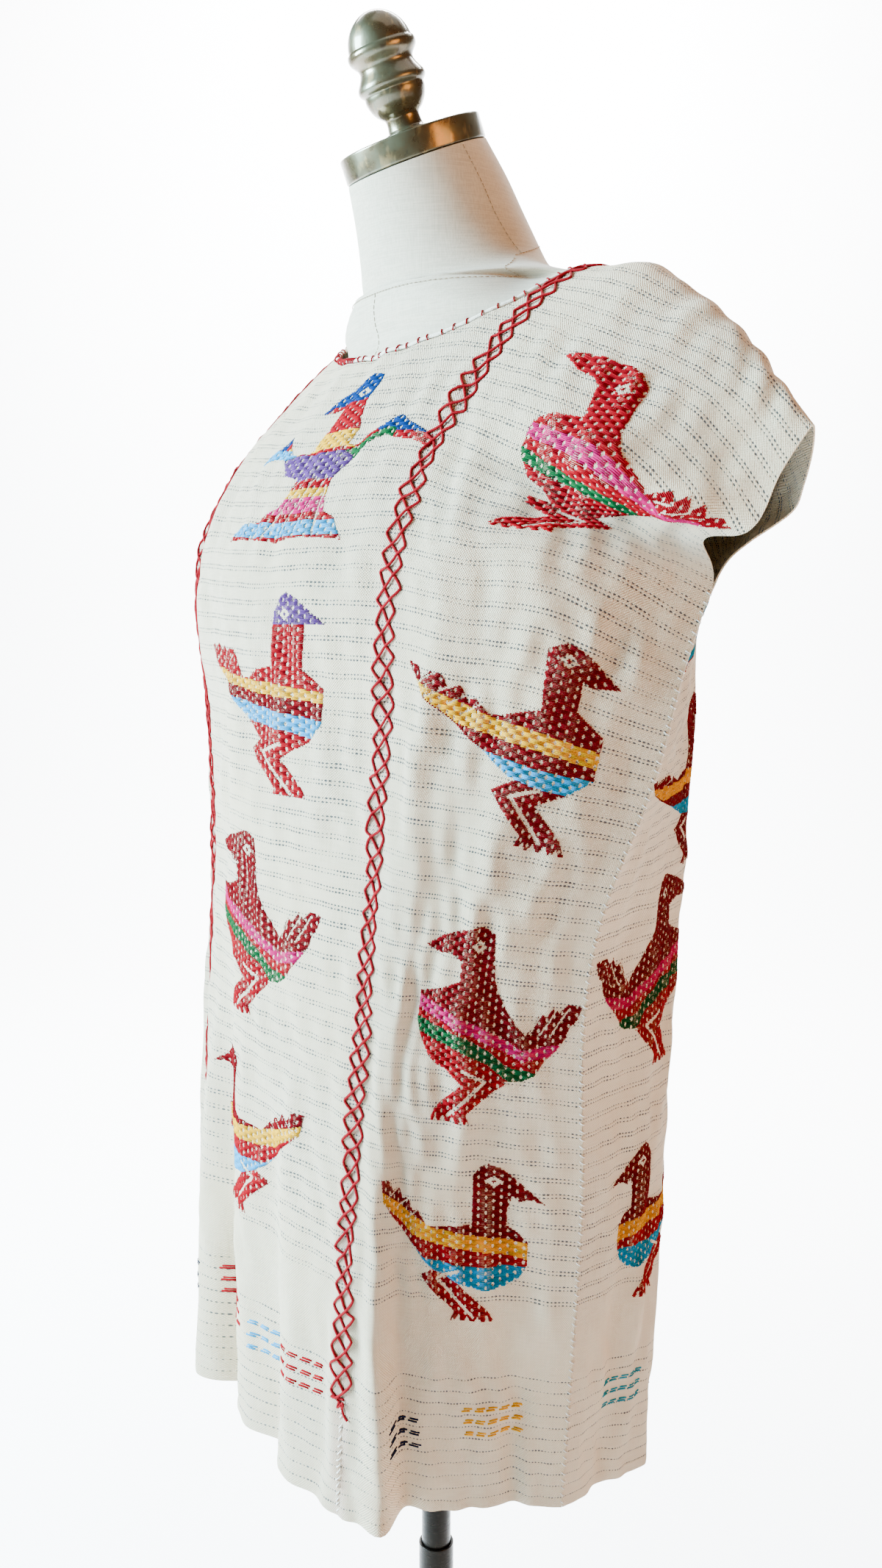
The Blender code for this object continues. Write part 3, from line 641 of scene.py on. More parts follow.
def group(name, inputs, outputs):
    """An empty shader node group with named sockets, its nodes, and its way in and out."""
    tree = bpy.data.node_groups.new(name, "ShaderNodeTree")
    for label, kind, value in inputs:
        socket = tree.interface.new_socket(label, in_out="INPUT", socket_type=kind)
        if value is not None:
            socket.default_value = value
    for label, kind in outputs:
        tree.interface.new_socket(label, in_out="OUTPUT", socket_type=kind)
    nodes = Nodes(tree)
    way_in = nodes.add("NodeGroupInput")
    way_out = nodes.add("NodeGroupOutput")
    return tree, nodes, way_in.outputs, way_out.inputs


def material(name, roughness=0.8, **constants):
    """A material with its Principled shader; constants are set on the shader's sockets."""
    finish = bpy.data.materials.new(name)
    finish.use_nodes = True
    nodes = Nodes(finish.node_tree)
    shader = finish.node_tree.nodes["Principled BSDF"]
    shader.inputs["Roughness"].default_value = roughness
    for label, value in constants.items():
        shader.inputs[label.replace("_", " ")].default_value = value
    return finish, nodes, shader.inputs


def bump(nodes, height, distance, strength=1.0):
    """A normal bent by a height, which rises over the distance given in metres."""
    return nodes.add("ShaderNodeBump", {"Height": height, "Distance": distance,
                                        "Strength": strength}).outputs[0]


def weave_group():
    """Plain weave: nubs of two crossing waves, slubs along each thread, and fibre noise; Pit marks the
    low places between nubs, where the cotton paints shade.
    """
    tree, nodes, given, out = group(
        "handwoven threads",
        [("Flat", "NodeSocketVector", None), ("Thread", "NodeSocketFloat", 0.8)],
        [("Height", "NodeSocketFloat"), ("Slub", "NodeSocketFloat"),
         ("Fibre", "NodeSocketFloat"), ("Pit", "NodeSocketFloat")])
    flat = nodes.stretched(given["Flat"], (1000.0, 1000.0, 1000.0))
    drift = nodes.noise(flat, 0.12, 2.0)
    x, y = nodes.add("ShaderNodeSeparateXYZ", {0: flat}).outputs[:2]
    waves = []
    for value in (x, y):
        turned_by = nodes.plus(nodes.over(value, given["Thread"]), drift)
        waves.append(nodes.math("SINE", nodes.times(turned_by, math.pi)))
    nub = nodes.times(*waves)
    weft = nodes.noise(nodes.stretched(flat, (0.06, 1.1, 1.0)), 1.0, 2.0)
    warp = nodes.noise(nodes.stretched(flat, (1.1, 0.05, 1.0)), 1.0, 2.0)
    slub = nodes.times(nodes.plus(weft, warp), 0.5)
    fibre = nodes.noise(flat, 2.6, 3.0, 0.6)
    height = nodes.plus(nodes.times(nub, 0.60), nodes.plus(slub, fibre))
    nodes.feed(out["Height"], height)
    nodes.feed(out["Slub"], slub)
    nodes.feed(out["Fibre"], fibre)
    # Pit: the weave's low places, which the cotton darkens as painted shade
    nodes.feed(out["Pit"], nodes.steps(nub, -0.1, -0.8))
    return tree


def openwork_group():
    """Rows of small holes: pairs of rows down to the plain band, then single rows."""
    tree, nodes, given, out = group(
        "openwork rows",
        [("Flat", "NodeSocketVector", None), ("Pair pitch", "NodeSocketFloat", 10.2),
         ("Hole pitch", "NodeSocketFloat", 2.8)],
        [("Holes", "NodeSocketFloat"), ("Sunk", "NodeSocketFloat")])
    flat = nodes.stretched(given["Flat"], (1000.0, 1000.0, 1000.0))
    x, y = nodes.add("ShaderNodeSeparateXYZ", {0: flat}).outputs[:2]
    sway = nodes.times(nodes.minus(nodes.noise(flat, 0.03, 1.0), 0.5), 2.4)
    depth = nodes.plus(nodes.size_of(y), sway)
    pitch = given["Pair pitch"]
    turn = nodes.over(depth, pitch)
    within = nodes.times(nodes.fraction(turn), pitch)
    upper = nodes.size_of(nodes.minus(within, 3.0))
    lower = nodes.size_of(nodes.minus(within, 5.3))
    paired = nodes.math("MINIMUM", upper, lower)
    single_pitch = 8.2
    lone = nodes.times(nodes.fraction(nodes.over(depth, single_pitch)),
                      single_pitch)
    lone = nodes.size_of(nodes.minus(lone, 4.0))
    low_part = nodes.math("GREATER_THAN", depth, 668.0)
    off_row = nodes.add("ShaderNodeMix", {0: low_part, 2: paired, 3: lone},
                        data_type="FLOAT").outputs[0]
    plain = nodes.times(nodes.math("GREATER_THAN", depth, 655.0),
                       nodes.math("LESS_THAN", depth, 700.0))
    column = nodes.over(x, given["Hole pitch"])
    off_column = nodes.times(nodes.math(
        "SUBTRACT", nodes.fraction(column), 0.5), given["Hole pitch"])
    cell = nodes.add("ShaderNodeCombineXYZ", {0: nodes.math("FLOOR", column),
                                              1: nodes.math("ROUND", nodes.math(
                                                  "MULTIPLY", turn, 4.0))}).outputs[0]
    luck = nodes.add("ShaderNodeTexWhiteNoise", {"Vector": cell}).outputs["Value"]
    size = nodes.plus(0.30, nodes.times(luck, 0.32))
    patch = nodes.steps(nodes.noise(flat, 0.02, 2.0), 0.30, 0.62, 0.72, 1.12)
    size = nodes.times(size, patch)
    slanted = nodes.times(nodes.plus(off_column, nodes.math(
        "MULTIPLY", off_row, 0.45)), 0.62)
    apart = nodes.math("SQRT", nodes.math(
        "ADD", nodes.math("POWER", slanted, 2.0),
        nodes.math("POWER", nodes.times(off_row, 1.05), 2.0)))
    hole = nodes.steps(nodes.minus(size, apart), -0.06, 0.08)
    there = nodes.minus(1.0, plain)
    nodes.feed(out["Holes"], nodes.times(hole, there))
    # Sunk: the recessed band round the hole rows, lowered in the bump and darkened by the cotton as
    # painted shade
    sunk = nodes.steps(off_row, 0.0, 1.0, 1.0, 0.0)
    nodes.feed(out["Sunk"], nodes.times(sunk, there))
    return tree


def shared(name, make):
    """A node group or material that several pieces use, made once."""
    if name not in CLOTH:
        CLOTH[name] = make()
    return CLOTH[name]


def use_group(nodes, tree, **values):
    node = nodes.add("ShaderNodeGroup", node_tree=tree)
    for label, value in values.items():
        nodes.feed(node.inputs[label.replace("_", " ")], value)
    return node.outputs


def cotton_finish():
    """Undyed cotton with its openwork, faint streaks and a pink cast beside the red seams; the holes,
    the weave's pits and the sunk hole rows are darkened as painted shade.
    """
    settings = bpy.context.scene.huipil_cloth
    finish, nodes, shader = material("handwoven cream cotton", 0.92, Sheen_Weight=0.25,
                                     Sheen_Roughness=0.5)
    flat = nodes.own("flat", "Vector")
    weave = use_group(nodes, shared("weave", weave_group), Flat=flat, Thread=0.82)
    rows = use_group(nodes, shared("openwork", openwork_group), Flat=flat,
                     Pair_pitch=settings.pair_pitch / MM, Hole_pitch=settings.hole_pitch / MM)
    cream = (*settings.cream, 1.0)
    darker = tuple(value * factor for value, factor in zip(settings.cream, (0.86, 0.83, 0.78)))
    tone = nodes.mix(nodes.steps(weave["Slub"], 0.35, 0.65), (*darker, 1.0), cream)
    # painted shade: the weave's pits darkened towards brown
    tone = nodes.mix(nodes.times(weave["Pit"], 0.42), tone, (0.42, 0.36, 0.28, 1.0))
    large = nodes.noise(flat, 9.0, 3.0)
    warm = tuple(value * factor for value, factor in zip(settings.cream, (0.97, 0.93, 0.86)))
    tone = nodes.mix(nodes.steps(large, 0.35, 0.7, 0.0, 0.6), tone, (*warm, 1.0))
    x = nodes.add("ShaderNodeSeparateXYZ", {0: flat}).outputs[0]
    near_seam = nodes.size_of(nodes.minus(nodes.size_of(x), SEAM_U))
    cast = nodes.steps(near_seam, 4.0 * MM, 13.0 * MM, 0.22, 0.0)
    tone = nodes.mix(cast, tone, (0.80, 0.42, 0.38, 1.0))
    # painted shade: the sunk hole rows darkened a little
    tone = nodes.mix(nodes.times(rows["Sunk"], 0.10), tone, (*darker, 1.0))
    # painted shade: the holes take the near-black hole colour in place of the shadow seen through them
    nodes.feed(shader["Base Color"],
               nodes.mix(nodes.times(rows["Holes"], 0.96), tone,
                         (*settings.hole, 1.0)))
    height = nodes.minus(weave["Height"], nodes.times(rows["Holes"], 1.6))
    height = nodes.minus(height, nodes.times(rows["Sunk"], 0.35))
    nodes.feed(shader["Normal"], bump(nodes, height, 0.85 * MM, 1.0))
    return finish


def yarn_finish():
    """Soft cotton yarn in the colour that each float carries, with fibres and lighter patches."""
    finish, nodes, shader = material("brocade yarn", 0.95, Specular_IOR_Level=0.06)
    place = nodes.add("ShaderNodeTexCoord").outputs["Object"]
    fibre = nodes.noise(place, 1400.0, 2.0, 0.6)
    patch = nodes.noise(place, 160.0, 2.0)
    dye = nodes.own("dye", "Color")
    dark = nodes.mix(1.0, dye, (0.62, 0.60, 0.62, 1.0), "MULTIPLY")
    tone = nodes.mix(nodes.steps(fibre, 0.35, 0.65), dark, dye)
    bright = nodes.mix(1.0, dye, (1.25, 1.2, 1.2, 1.0), "MULTIPLY")
    tone = nodes.mix(nodes.steps(patch, 0.5, 0.8, 0.0, 0.8), tone, bright)
    nodes.feed(shader["Base Color"], tone)
    nodes.feed(shader["Normal"], bump(nodes, fibre, 0.12 * MM, 0.7))
    return finish


def thread_finish(name, tone):
    """Twisted thread: bright and dark fibre mottling."""
    finish, nodes, shader = material(name, 0.85, Specular_IOR_Level=0.12)
    place = nodes.add("ShaderNodeTexCoord").outputs["Object"]
    fibre = nodes.noise(place, 1800.0, 2.0, 0.6)
    dark = tuple(value * 0.6 for value in tone)
    nodes.feed(shader["Base Color"], nodes.mix(nodes.steps(fibre, 0.35, 0.62),
                                               (*dark, 1.0), (*tone, 1.0)))
    nodes.feed(shader["Normal"], bump(nodes, fibre, 0.12 * MM, 0.7))
    return finish


def cover_finish():
    """Plain linen-like cover: fine threads, small slubs and a few darker specks."""
    settings = bpy.context.scene.huipil_stand
    finish, nodes, shader = material("form cover", 0.93, Sheen_Weight=0.15)
    place = nodes.add("ShaderNodeTexCoord").outputs["Object"]
    upright = nodes.noise(nodes.stretched(place, (1500.0, 1500.0, 60.0)), 1.0, 2.0)
    level = nodes.noise(nodes.stretched(place, (60.0, 60.0, 1500.0)), 1.0, 2.0)
    weave = nodes.times(nodes.plus(upright, level), 0.5)
    dark = tuple(value * 0.80 for value in settings.cover)
    tone = nodes.mix(nodes.steps(weave, 0.38, 0.6), (*dark, 1.0), (*settings.cover, 1.0))
    speck = nodes.steps(nodes.noise(place, 420.0, 2.0), 0.72, 0.78)
    tone = nodes.mix(nodes.times(speck, 0.4), tone, (0.30, 0.24, 0.17, 1.0))
    nodes.feed(shader["Base Color"], tone)
    nodes.feed(shader["Normal"], bump(nodes, weave, 0.25 * MM, 0.7))
    return finish


def bronze_finish():
    """Aged bronze under lacquer: olive and brown clouds, bright drips and fine pits."""
    settings = bpy.context.scene.huipil_stand
    finish, nodes, shader = material("aged bronze", settings.bronze_roughness, Metallic=0.7,
                                     Coat_Weight=0.6, Coat_Roughness=0.12)
    place = nodes.add("ShaderNodeTexCoord").outputs["Object"]
    cloud = nodes.noise(place, 38.0, 4.0, 0.6)
    drip = nodes.noise(nodes.stretched(place, (150.0, 150.0, 55.0)), 1.0, 3.0)
    olive = (0.105, 0.105, 0.062, 1.0)
    tone = nodes.mix(nodes.steps(cloud, 0.38, 0.62), (*settings.bronze, 1.0), olive)
    tone = nodes.mix(nodes.steps(drip, 0.58, 0.72, 0.0, 0.7), tone, (0.30, 0.22, 0.10, 1.0))
    tone = nodes.mix(nodes.steps(nodes.noise(place, 90.0, 3.0), 0.60, 0.72, 0.0, 0.7), tone,
                     (0.035, 0.028, 0.020, 1.0))
    nodes.feed(shader["Base Color"], tone)
    nodes.feed(shader["Roughness"], nodes.steps(cloud, 0.3, 0.7, 0.20, 0.42))
    nodes.feed(shader["Normal"], bump(nodes, nodes.plus(drip, cloud), 0.6 * MM, 0.35))
    return finish


def steel_finish():
    """Dark gunmetal: fine lines round the tube and faint cloudy wear."""
    settings = bpy.context.scene.huipil_stand
    finish, nodes, shader = material("dark steel", settings.steel_roughness, Metallic=0.9)
    place = nodes.add("ShaderNodeTexCoord").outputs["Object"]
    lines = nodes.noise(nodes.stretched(place, (40.0, 40.0, 900.0)), 1.0, 2.0)
    cloud = nodes.noise(place, 25.0, 3.0)
    worn = tuple(value * 1.6 for value in settings.steel)
    nodes.feed(shader["Base Color"], nodes.mix(nodes.steps(cloud, 0.45, 0.75),
                                               (*settings.steel, 1.0), (*worn, 1.0)))
    nodes.feed(shader["Roughness"], nodes.steps(lines, 0.3, 0.7, 0.24, 0.40))
    nodes.feed(shader["Normal"], bump(nodes, lines, 0.05 * MM, 0.5))
    return finish


# ------------------------------------------------------------ cloth pieces


def cloth_levels():
    """Depths below the shoulder line that every width has a row of points at."""
    step = bpy.context.scene.huipil_cloth.mesh_step
    upper = np.linspace(0.0, ARMHOLE, round(ARMHOLE / step) + 1)
    lower = np.linspace(ARMHOLE, HEM, round((HEM - ARMHOLE) / step) + 1)[1:]
    return np.concatenate([upper, lower])


HEM_TURN = 6.0 * MM      # height of the turned hem
HEM_EXTRA = 0.6 * MM     # how much thicker it is


def hem_swell(w):
    """The turned hem's extra thickness near the end of the cloth."""
    return HEM_EXTRA * soft_step(np.abs(w), HEM - HEM_TURN - 1.5 * MM, HEM - HEM_TURN)


def cloth_wall(name, outer, normal, u, w, thickness, flip):
    """A closed wall from its outer points, with the weaving's own lengths at each point."""
    inner = outer - normal * thickness[..., None]
    flat = np.stack([u, weaving().woven_at(u, w)], -1)
    if flip == "columns":
        outer, inner, flat = outer[:, ::-1], inner[:, ::-1], flat[:, ::-1]
    if flip == "rows":
        outer, inner, flat = outer[::-1], inner[::-1], flat[::-1]
    rows, columns = outer.shape[:2]
    piece = mesh_piece(name, np.stack([outer, inner]), [wall_faces(rows, columns)],
                       shared("cotton", cotton_finish), {"flat": np.stack([flat, flat])})
    piece.data.set_sharp_from_angle(angle=math.radians(70.0))
    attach(piece, "form")
    return piece


def side_width(name, hand):
    """A side width: one wall from the front hem over the shoulder to the back hem.

    Below the armhole its two edges meet in the side seam and are cut in the
    plane half way between them.
    """
    settings = bpy.context.scene.huipil_cloth
    levels = cloth_levels()
    w = np.concatenate([-levels[::-1], levels[1:]])
    columns = round((EDGE_U - SEAM_U) / settings.mesh_step) + 1
    u = hand * np.linspace(SEAM_U + SEAM_GAP / 2, EDGE_U, columns)
    across, along = np.meshgrid(u, w)
    outer = dressed(across, along)
    normal = outward(dressed, across, along)
    outer = outer + normal * hem_swell(along)[..., None]
    sewn = np.abs(w) >= ARMHOLE - 1e-9
    outer[sewn, -1, 1] += np.sign(w[sewn]) * SEAM_GAP / 2
    both = normal[:, -1] + normal[::-1, -1]
    both /= np.linalg.norm(both, axis=-1, keepdims=True)
    stretch = 1.0 / np.sum(both * normal[:, -1], axis=-1, keepdims=True)
    normal[sewn, -1] = (both * stretch)[sewn]
    thickness = settings.wall + hem_swell(along)
    return cloth_wall(name, outer, normal, across, along, thickness,
                      "columns" if hand < 0 else None)


def neck_edge_depth(u, deepest, half=NECK_HALF):
    """Depth of the neck hole's edge below the shoulder line at u."""
    reach = np.clip(np.abs(u) / half, 0.0, 1.0)
    return deepest * (1.0 - reach ** NECK_SQUARE) ** (1.0 / NECK_SQUARE)


def middle_width(name, side):
    """The front or back of the middle width, from the rolled neck hem to the hem."""
    settings = bpy.context.scene.huipil_cloth
    count = round(SEAM_U / settings.mesh_step)
    crowd = 1.0 - (1.0 - np.linspace(0.0, 1.0, count)) ** 1.4
    start = NECK_EDGE + 1.5 * SEAM_GAP
    half = (NECK_HALF + start) * crowd
    half = np.append(half, SEAM_U - SEAM_GAP / 2)
    u = np.concatenate([-half[:0:-1], half])
    edge = neck_edge_depth(u, NECK_DEPTH[side] + NECK_EDGE + SEAM_GAP, NECK_HALF + start)
    edge = edge + SEAM_GAP / 2
    upper_rows = round(ARMHOLE / settings.mesh_step)
    reach = np.linspace(0.0, 1.0, upper_rows + 1)[:, None]
    upper = edge * (1.0 - reach) + ARMHOLE * reach
    levels = cloth_levels()
    lower = levels[levels > ARMHOLE + 1e-9][:, None] + 0.0 * u
    depth = np.concatenate([upper, lower])
    across, along = np.broadcast_to(u, depth.shape), side * depth
    normal = outward(dressed, across, along)
    outer = dressed(across, along) + normal * hem_swell(along)[..., None]
    thickness = settings.wall + hem_swell(along)
    return cloth_wall(name, outer, normal, across, along, thickness,
                      "rows" if side == FRONT else None)


class HUIPIL_OT_widths(bpy.types.Operator):
    """Four walls of cloth: the middle width's front and back, and the two side widths"""
    bl_idname = "huipil.widths"
    bl_label = "Loom Widths"

    def execute(self, context):
        for name, hand in (("left", 1), ("right", -1)):
            piece = side_width("side_width_cloth_" + name, hand)
            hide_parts("side_width_" + name)
        for name, side in (("front", FRONT), ("back", BACK)):
            piece = middle_width("middle_width_cloth_" + name, side)
            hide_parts(name + "_middle_width")
        return {"FINISHED"}


# ---------------------------------------------------------------- stitches


def smooth_path(knots, per_span):
    """A curve through a path's knots whose slopes come from each knot's neighbours."""
    at = np.linspace(0.0, len(knots) - 1.0, (len(knots) - 1) * per_span + 1)
    return smooth(np.arange(len(knots), dtype=float), np.asarray(knots, float), at)


def neck_path(points=420):
    """The rolled hem's middle line round the neck hole, as u and w, closed."""
    half = NECK_HALF + NECK_EDGE / 2
    turn = np.linspace(0.0, 2.0 * math.pi, points, endpoint=False)
    reach = 2.0 / NECK_SQUARE
    u = half * np.sign(np.cos(turn)) * np.abs(np.cos(turn)) ** reach
    rise = np.abs(np.sin(turn)) ** reach
    deep = np.where(np.sin(turn) < 0.0, NECK_DEPTH[FRONT], NECK_DEPTH[BACK]) + NECK_EDGE / 2
    w = np.sign(np.sin(turn)) * deep * rise
    place = weaving().place(u, w)[0]
    step = np.linalg.norm(np.roll(place, -1, 0) - place, axis=-1)
    run = np.concatenate([[0.0], np.cumsum(step)])
    even = np.linspace(0.0, run[-1], points, endpoint=False)
    u = np.interp(even, run, np.append(u, u[0]))
    w = np.interp(even, run, np.append(w, w[0]))
    return u, w, run[-1]


def neck_frame(points=420):
    """Centre, surface normal and outward-in-surface direction along the rolled hem."""
    u, w, around = neck_path(points)
    centre, normal = weaving().place(u, w, 0.2 * MM)
    ahead = np.roll(centre, -1, 0) - np.roll(centre, 1, 0)
    ahead /= np.linalg.norm(ahead, axis=-1, keepdims=True)
    beside = np.cross(ahead, normal)
    beside /= np.linalg.norm(beside, axis=-1, keepdims=True)
    return centre, normal, beside, around


ROLL_RADIUS = 1.35 * MM


def neck_roll():
    """Rolled hem: a closed tube round the neck hole, its thickness swelling and easing along it."""
    centre, normal, beside, around = neck_frame()
    sides = 12
    turn = np.linspace(0.0, 2.0 * math.pi, sides, endpoint=False)
    run = np.linspace(0.0, around, len(centre), endpoint=False)
    swell = 1.0 + 0.07 * np.sin(2.0 * math.pi * run / (6.5 * MM)) \
        + 0.05 * np.sin(2.0 * math.pi * run / (23.0 * MM))
    ring = (beside[:, None] * np.cos(turn)[:, None] + normal[:, None] * np.sin(turn)[:, None] * 0.9)
    points = centre[:, None] + ring * (ROLL_RADIUS * swell)[:, None, None]
    index = np.arange(len(centre) * sides).reshape(len(centre), sides)
    ahead, beyond = np.roll(index, -1, 0), np.roll(index, -1, 1)
    faces = np.stack([index, beyond, np.roll(ahead, -1, 1), ahead], -1).reshape(-1, 4)
    finish = shared("roll", lambda: thread_finish("rolled hem cotton", (0.80, 0.74, 0.62)))
    return mesh_piece("neck_roll", points, [faces[:, ::-1]], finish)


def neck_whips(seed=3):
    """Whip stitches over the neck roll: slanting loops, closer together at the front's right."""
    draw = np.random.default_rng(seed)
    centre, normal, beside, around = neck_frame(1200)
    run, places = 0.0, []
    while run < around - 3.0 * MM:
        share_round = run / around
        crowded = 0.62 < share_round < 0.70
        run += draw.uniform(2.6, 4.2) * MM if crowded else draw.uniform(6.5, 11.0) * MM
        places.append(run)
    places = np.array(places[:-1])
    turn = np.radians(np.linspace(-62.0, 238.0, 9))
    slant = draw.normal(0.5, 0.9, (len(places), 1)) * MM
    along = places[:, None] + slant * np.linspace(-1.0, 1.0, 9)
    index = np.round(along / around * len(centre)).astype(int) % len(centre)
    reach = ROLL_RADIUS + 0.35 * MM
    out = (beside[index] * np.cos(turn)[:, None] + normal[index] * np.sin(turn)[:, None])
    long = 1.0 + draw.uniform(0.0, 0.9, (len(places), 1, 1)) \
        * np.maximum(np.cos(turn), 0.0)[:, None] ** 3
    points = centre[index] + out * reach * long
    return tubes(points, out, 0.50 * MM, sides=5)


SEAM_REACH = 8.2 * MM     # how far the joining stitch reaches from the seam


def seam_inner_reach(w):
    """How far the joining stitch may reach towards the middle: less beside the neck hole."""
    side = np.where(w < 0.0, NECK_DEPTH[FRONT], NECK_DEPTH[BACK]) + NECK_EDGE
    depth = np.clip(np.abs(w) / side, 0.0, 1.0)
    edge = (NECK_HALF + NECK_EDGE) * (1.0 - depth ** NECK_SQUARE) ** (1.0 / NECK_SQUARE)
    return np.minimum(SEAM_REACH, SEAM_U - edge - 1.2 * MM)


RED_END = {FRONT: 0.716, BACK: 0.700}
STITCH_PITCH = 12.5 * MM
STITCH_SPREAD = 0.45      # how much wider the stitch is worked at the hem than at the shoulder


def joining_stitch(hand, seed):
    """Red joining stitch over one seam, from the front's end over the shoulder to the back's.

    Three threads take turns: each slants from a cusp on the side width down one
    and a half steps to a cusp on the middle width, and so on back, and the slants
    cross at a third and two thirds of the way.
    """
    draw = np.random.default_rng(seed)
    count = round((RED_END[FRONT] + RED_END[BACK]) / STITCH_PITCH)
    pitch = (RED_END[FRONT] + RED_END[BACK]) / count

    def knots(off, shift):
        """One knot a step, off the seam by off and shifted along it by shift steps."""
        place = RED_END[BACK] - (np.arange(-3, count + 3) + shift) * pitch
        place = place + draw.normal(0.0, 0.8 * MM, len(place))
        place = np.clip(place, -RED_END[FRONT], RED_END[BACK])
        return np.stack([off + draw.normal(0.0, 0.55 * MM, len(place)), place], -1)

    outer, inner = knots(SEAM_REACH, 0.0), knots(-SEAM_REACH, 0.5)
    near_outer, near_inner = knots(2.9 * MM, 0.5), knots(-3.3 * MM, 1.0)
    blocks = []
    for turn in range(3):
        first = np.arange(turn - 3, count, 3)
        at = first + 3
        path = np.stack([outer[at], near_outer[at], near_inner[at], inner[at + 1],
                         near_inner[at + 1], near_outer[at + 2]], 1).reshape(-1, 2)
        straight = np.linspace(0.0, len(path) - 1.0, (len(path) - 1) * 6 + 1)
        straight = np.stack([np.interp(straight, np.arange(len(path)), axis)
                             for axis in path.T], -1)
        curve = (smooth_path(path, 6) + straight) / 2.0
        stage = np.linspace(0.0, len(path) - 1.0, len(curve)) % 6.0
        over = 0.5 - 0.5 * np.cos(2.0 * math.pi * np.clip(stage / 3.0, 0.0, 1.0))
        reach = seam_inner_reach(curve[:, 1])
        off = np.where(curve[:, 0] < 0.0, curve[:, 0] * reach / SEAM_REACH, curve[:, 0])
        off = off * (1.0 + STITCH_SPREAD * (curve[:, 1] / HEM) ** 2)
        u = hand * (SEAM_U + off)
        height = (0.60 + 0.95 * over) * MM
        points, normal = weaving().place(u, weaving().on_surface(u, curve[:, 1]), height)
        blocks.append(tubes(points[None], normal[None],
                            bpy.context.scene.huipil_yarns.stitch / 2, sides=6))
    return blocks


def knot(hand):
    """Small knot and loose tail where the red stitch ends in front."""
    end = -RED_END[FRONT] - 3.0 * MM
    loop = [(-4.5, 2.0), (0.5, 0.2), (3.6, 1.5), (4.2, -1.2), (0.5, -0.6), (-3.4, -2.4),
            (-1.0, 1.2), (2.0, -2.6), (4.0, -6.2), (8.6, -9.0)]
    curve = smooth_path(np.array(loop) * MM, 6)
    u = hand * SEAM_U + curve[:, 0]
    height = np.interp(np.linspace(0, 1, len(u)), [0.0, 0.3, 0.6, 1.0], [0.6, 1.9, 1.5, 0.8]) * MM
    points, normal = weaving().place(u, end + curve[:, 1], height)
    return tubes(points[None], normal[None], 0.7 * MM, sides=6)


WHIP_START, WHIP_END = 8.0 * MM, 2.0 * MM    # bare lengths below the red stitch and above the hem
WHIP_STEP = 4.2 * MM


def whip_row(u_centre, rows, reach, thickness, seed, slant=1.3 * MM):
    """Short slanting stitches across a seam at u_centre, one at each row."""
    draw = np.random.default_rng(seed)
    rows = np.asarray(rows) + draw.normal(0.0, 0.5 * MM, len(rows))
    at = np.linspace(-1.0, 1.0, 7)
    wide = reach * draw.uniform(0.75, 1.2, (len(rows), 1))
    u = u_centre + wide * at
    w = rows[:, None] + slant * at * draw.uniform(0.6, 1.4, (len(rows), 1))
    height = (1.0 - at ** 2) * 1.0 * MM - 0.15 * MM
    points, normal = weaving().place(u, w, np.broadcast_to(height, u.shape))
    return tubes(points, normal, thickness / 2, sides=5)


def side_seam_stitches(hand, seed):
    """Cream whip stitches up the side seam, from the hem to the armhole's foot."""
    draw = np.random.default_rng(seed)
    rows = np.arange(ARMHOLE + 4.0 * MM, HEM - 3.0 * MM, 5.2 * MM)
    rows = rows + draw.normal(0.0, 0.5 * MM, len(rows))
    at = np.linspace(-1.0, 1.0, 7)
    back = at > 0.0
    away = np.abs(at) * 2.2 * MM
    u = hand * (EDGE_U - away) + 0.0 * rows[:, None]
    w = np.where(back, 1.0, -1.0) * (rows[:, None] + 0.9 * MM * at)
    points, normal = weaving().place(u, w, np.broadcast_to((1.0 - at ** 2) * 0.9 * MM, u.shape))
    middle = len(at) // 2
    points[:, middle] = (points[:, middle - 1] + points[:, middle + 1]) / 2
    seam_normal = normal[:, middle - 1] + normal[:, middle + 1]
    seam_normal /= np.linalg.norm(seam_normal, axis=-1, keepdims=True)
    points[:, middle] += seam_normal * 0.6 * MM
    normal[:, middle] = seam_normal
    return tubes(points, normal, 0.35 * MM, sides=5)


def joined(blocks):
    """Several points-and-faces blocks as one."""
    points, faces, start = [], [], 0
    for block_points, block_faces in blocks:
        points.append(block_points)
        faces.extend(face + start for face in block_faces)
        start += len(block_points)
    return np.concatenate(points), faces


def thread_piece(name, blocks, finish):
    points, faces = joined(blocks)
    piece = mesh_piece(name, points, faces, finish)
    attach(piece, "form")
    return piece


class HUIPIL_OT_neck(bpy.types.Operator):
    """Rolled hem round the neck hole and its red whip stitches"""
    bl_idname = "huipil.neck"
    bl_label = "Neck Edge"

    def execute(self, context):
        roll = neck_roll()
        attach(roll, "form")
        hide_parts("neck_hem_front", "neck_hem_back")
        red = shared("red thread", lambda: thread_finish(
            "red thread", tuple(context.scene.huipil_yarns.red)))
        thread_piece("neck_whip_stitches", [neck_whips()], red)
        return {"FINISHED"}


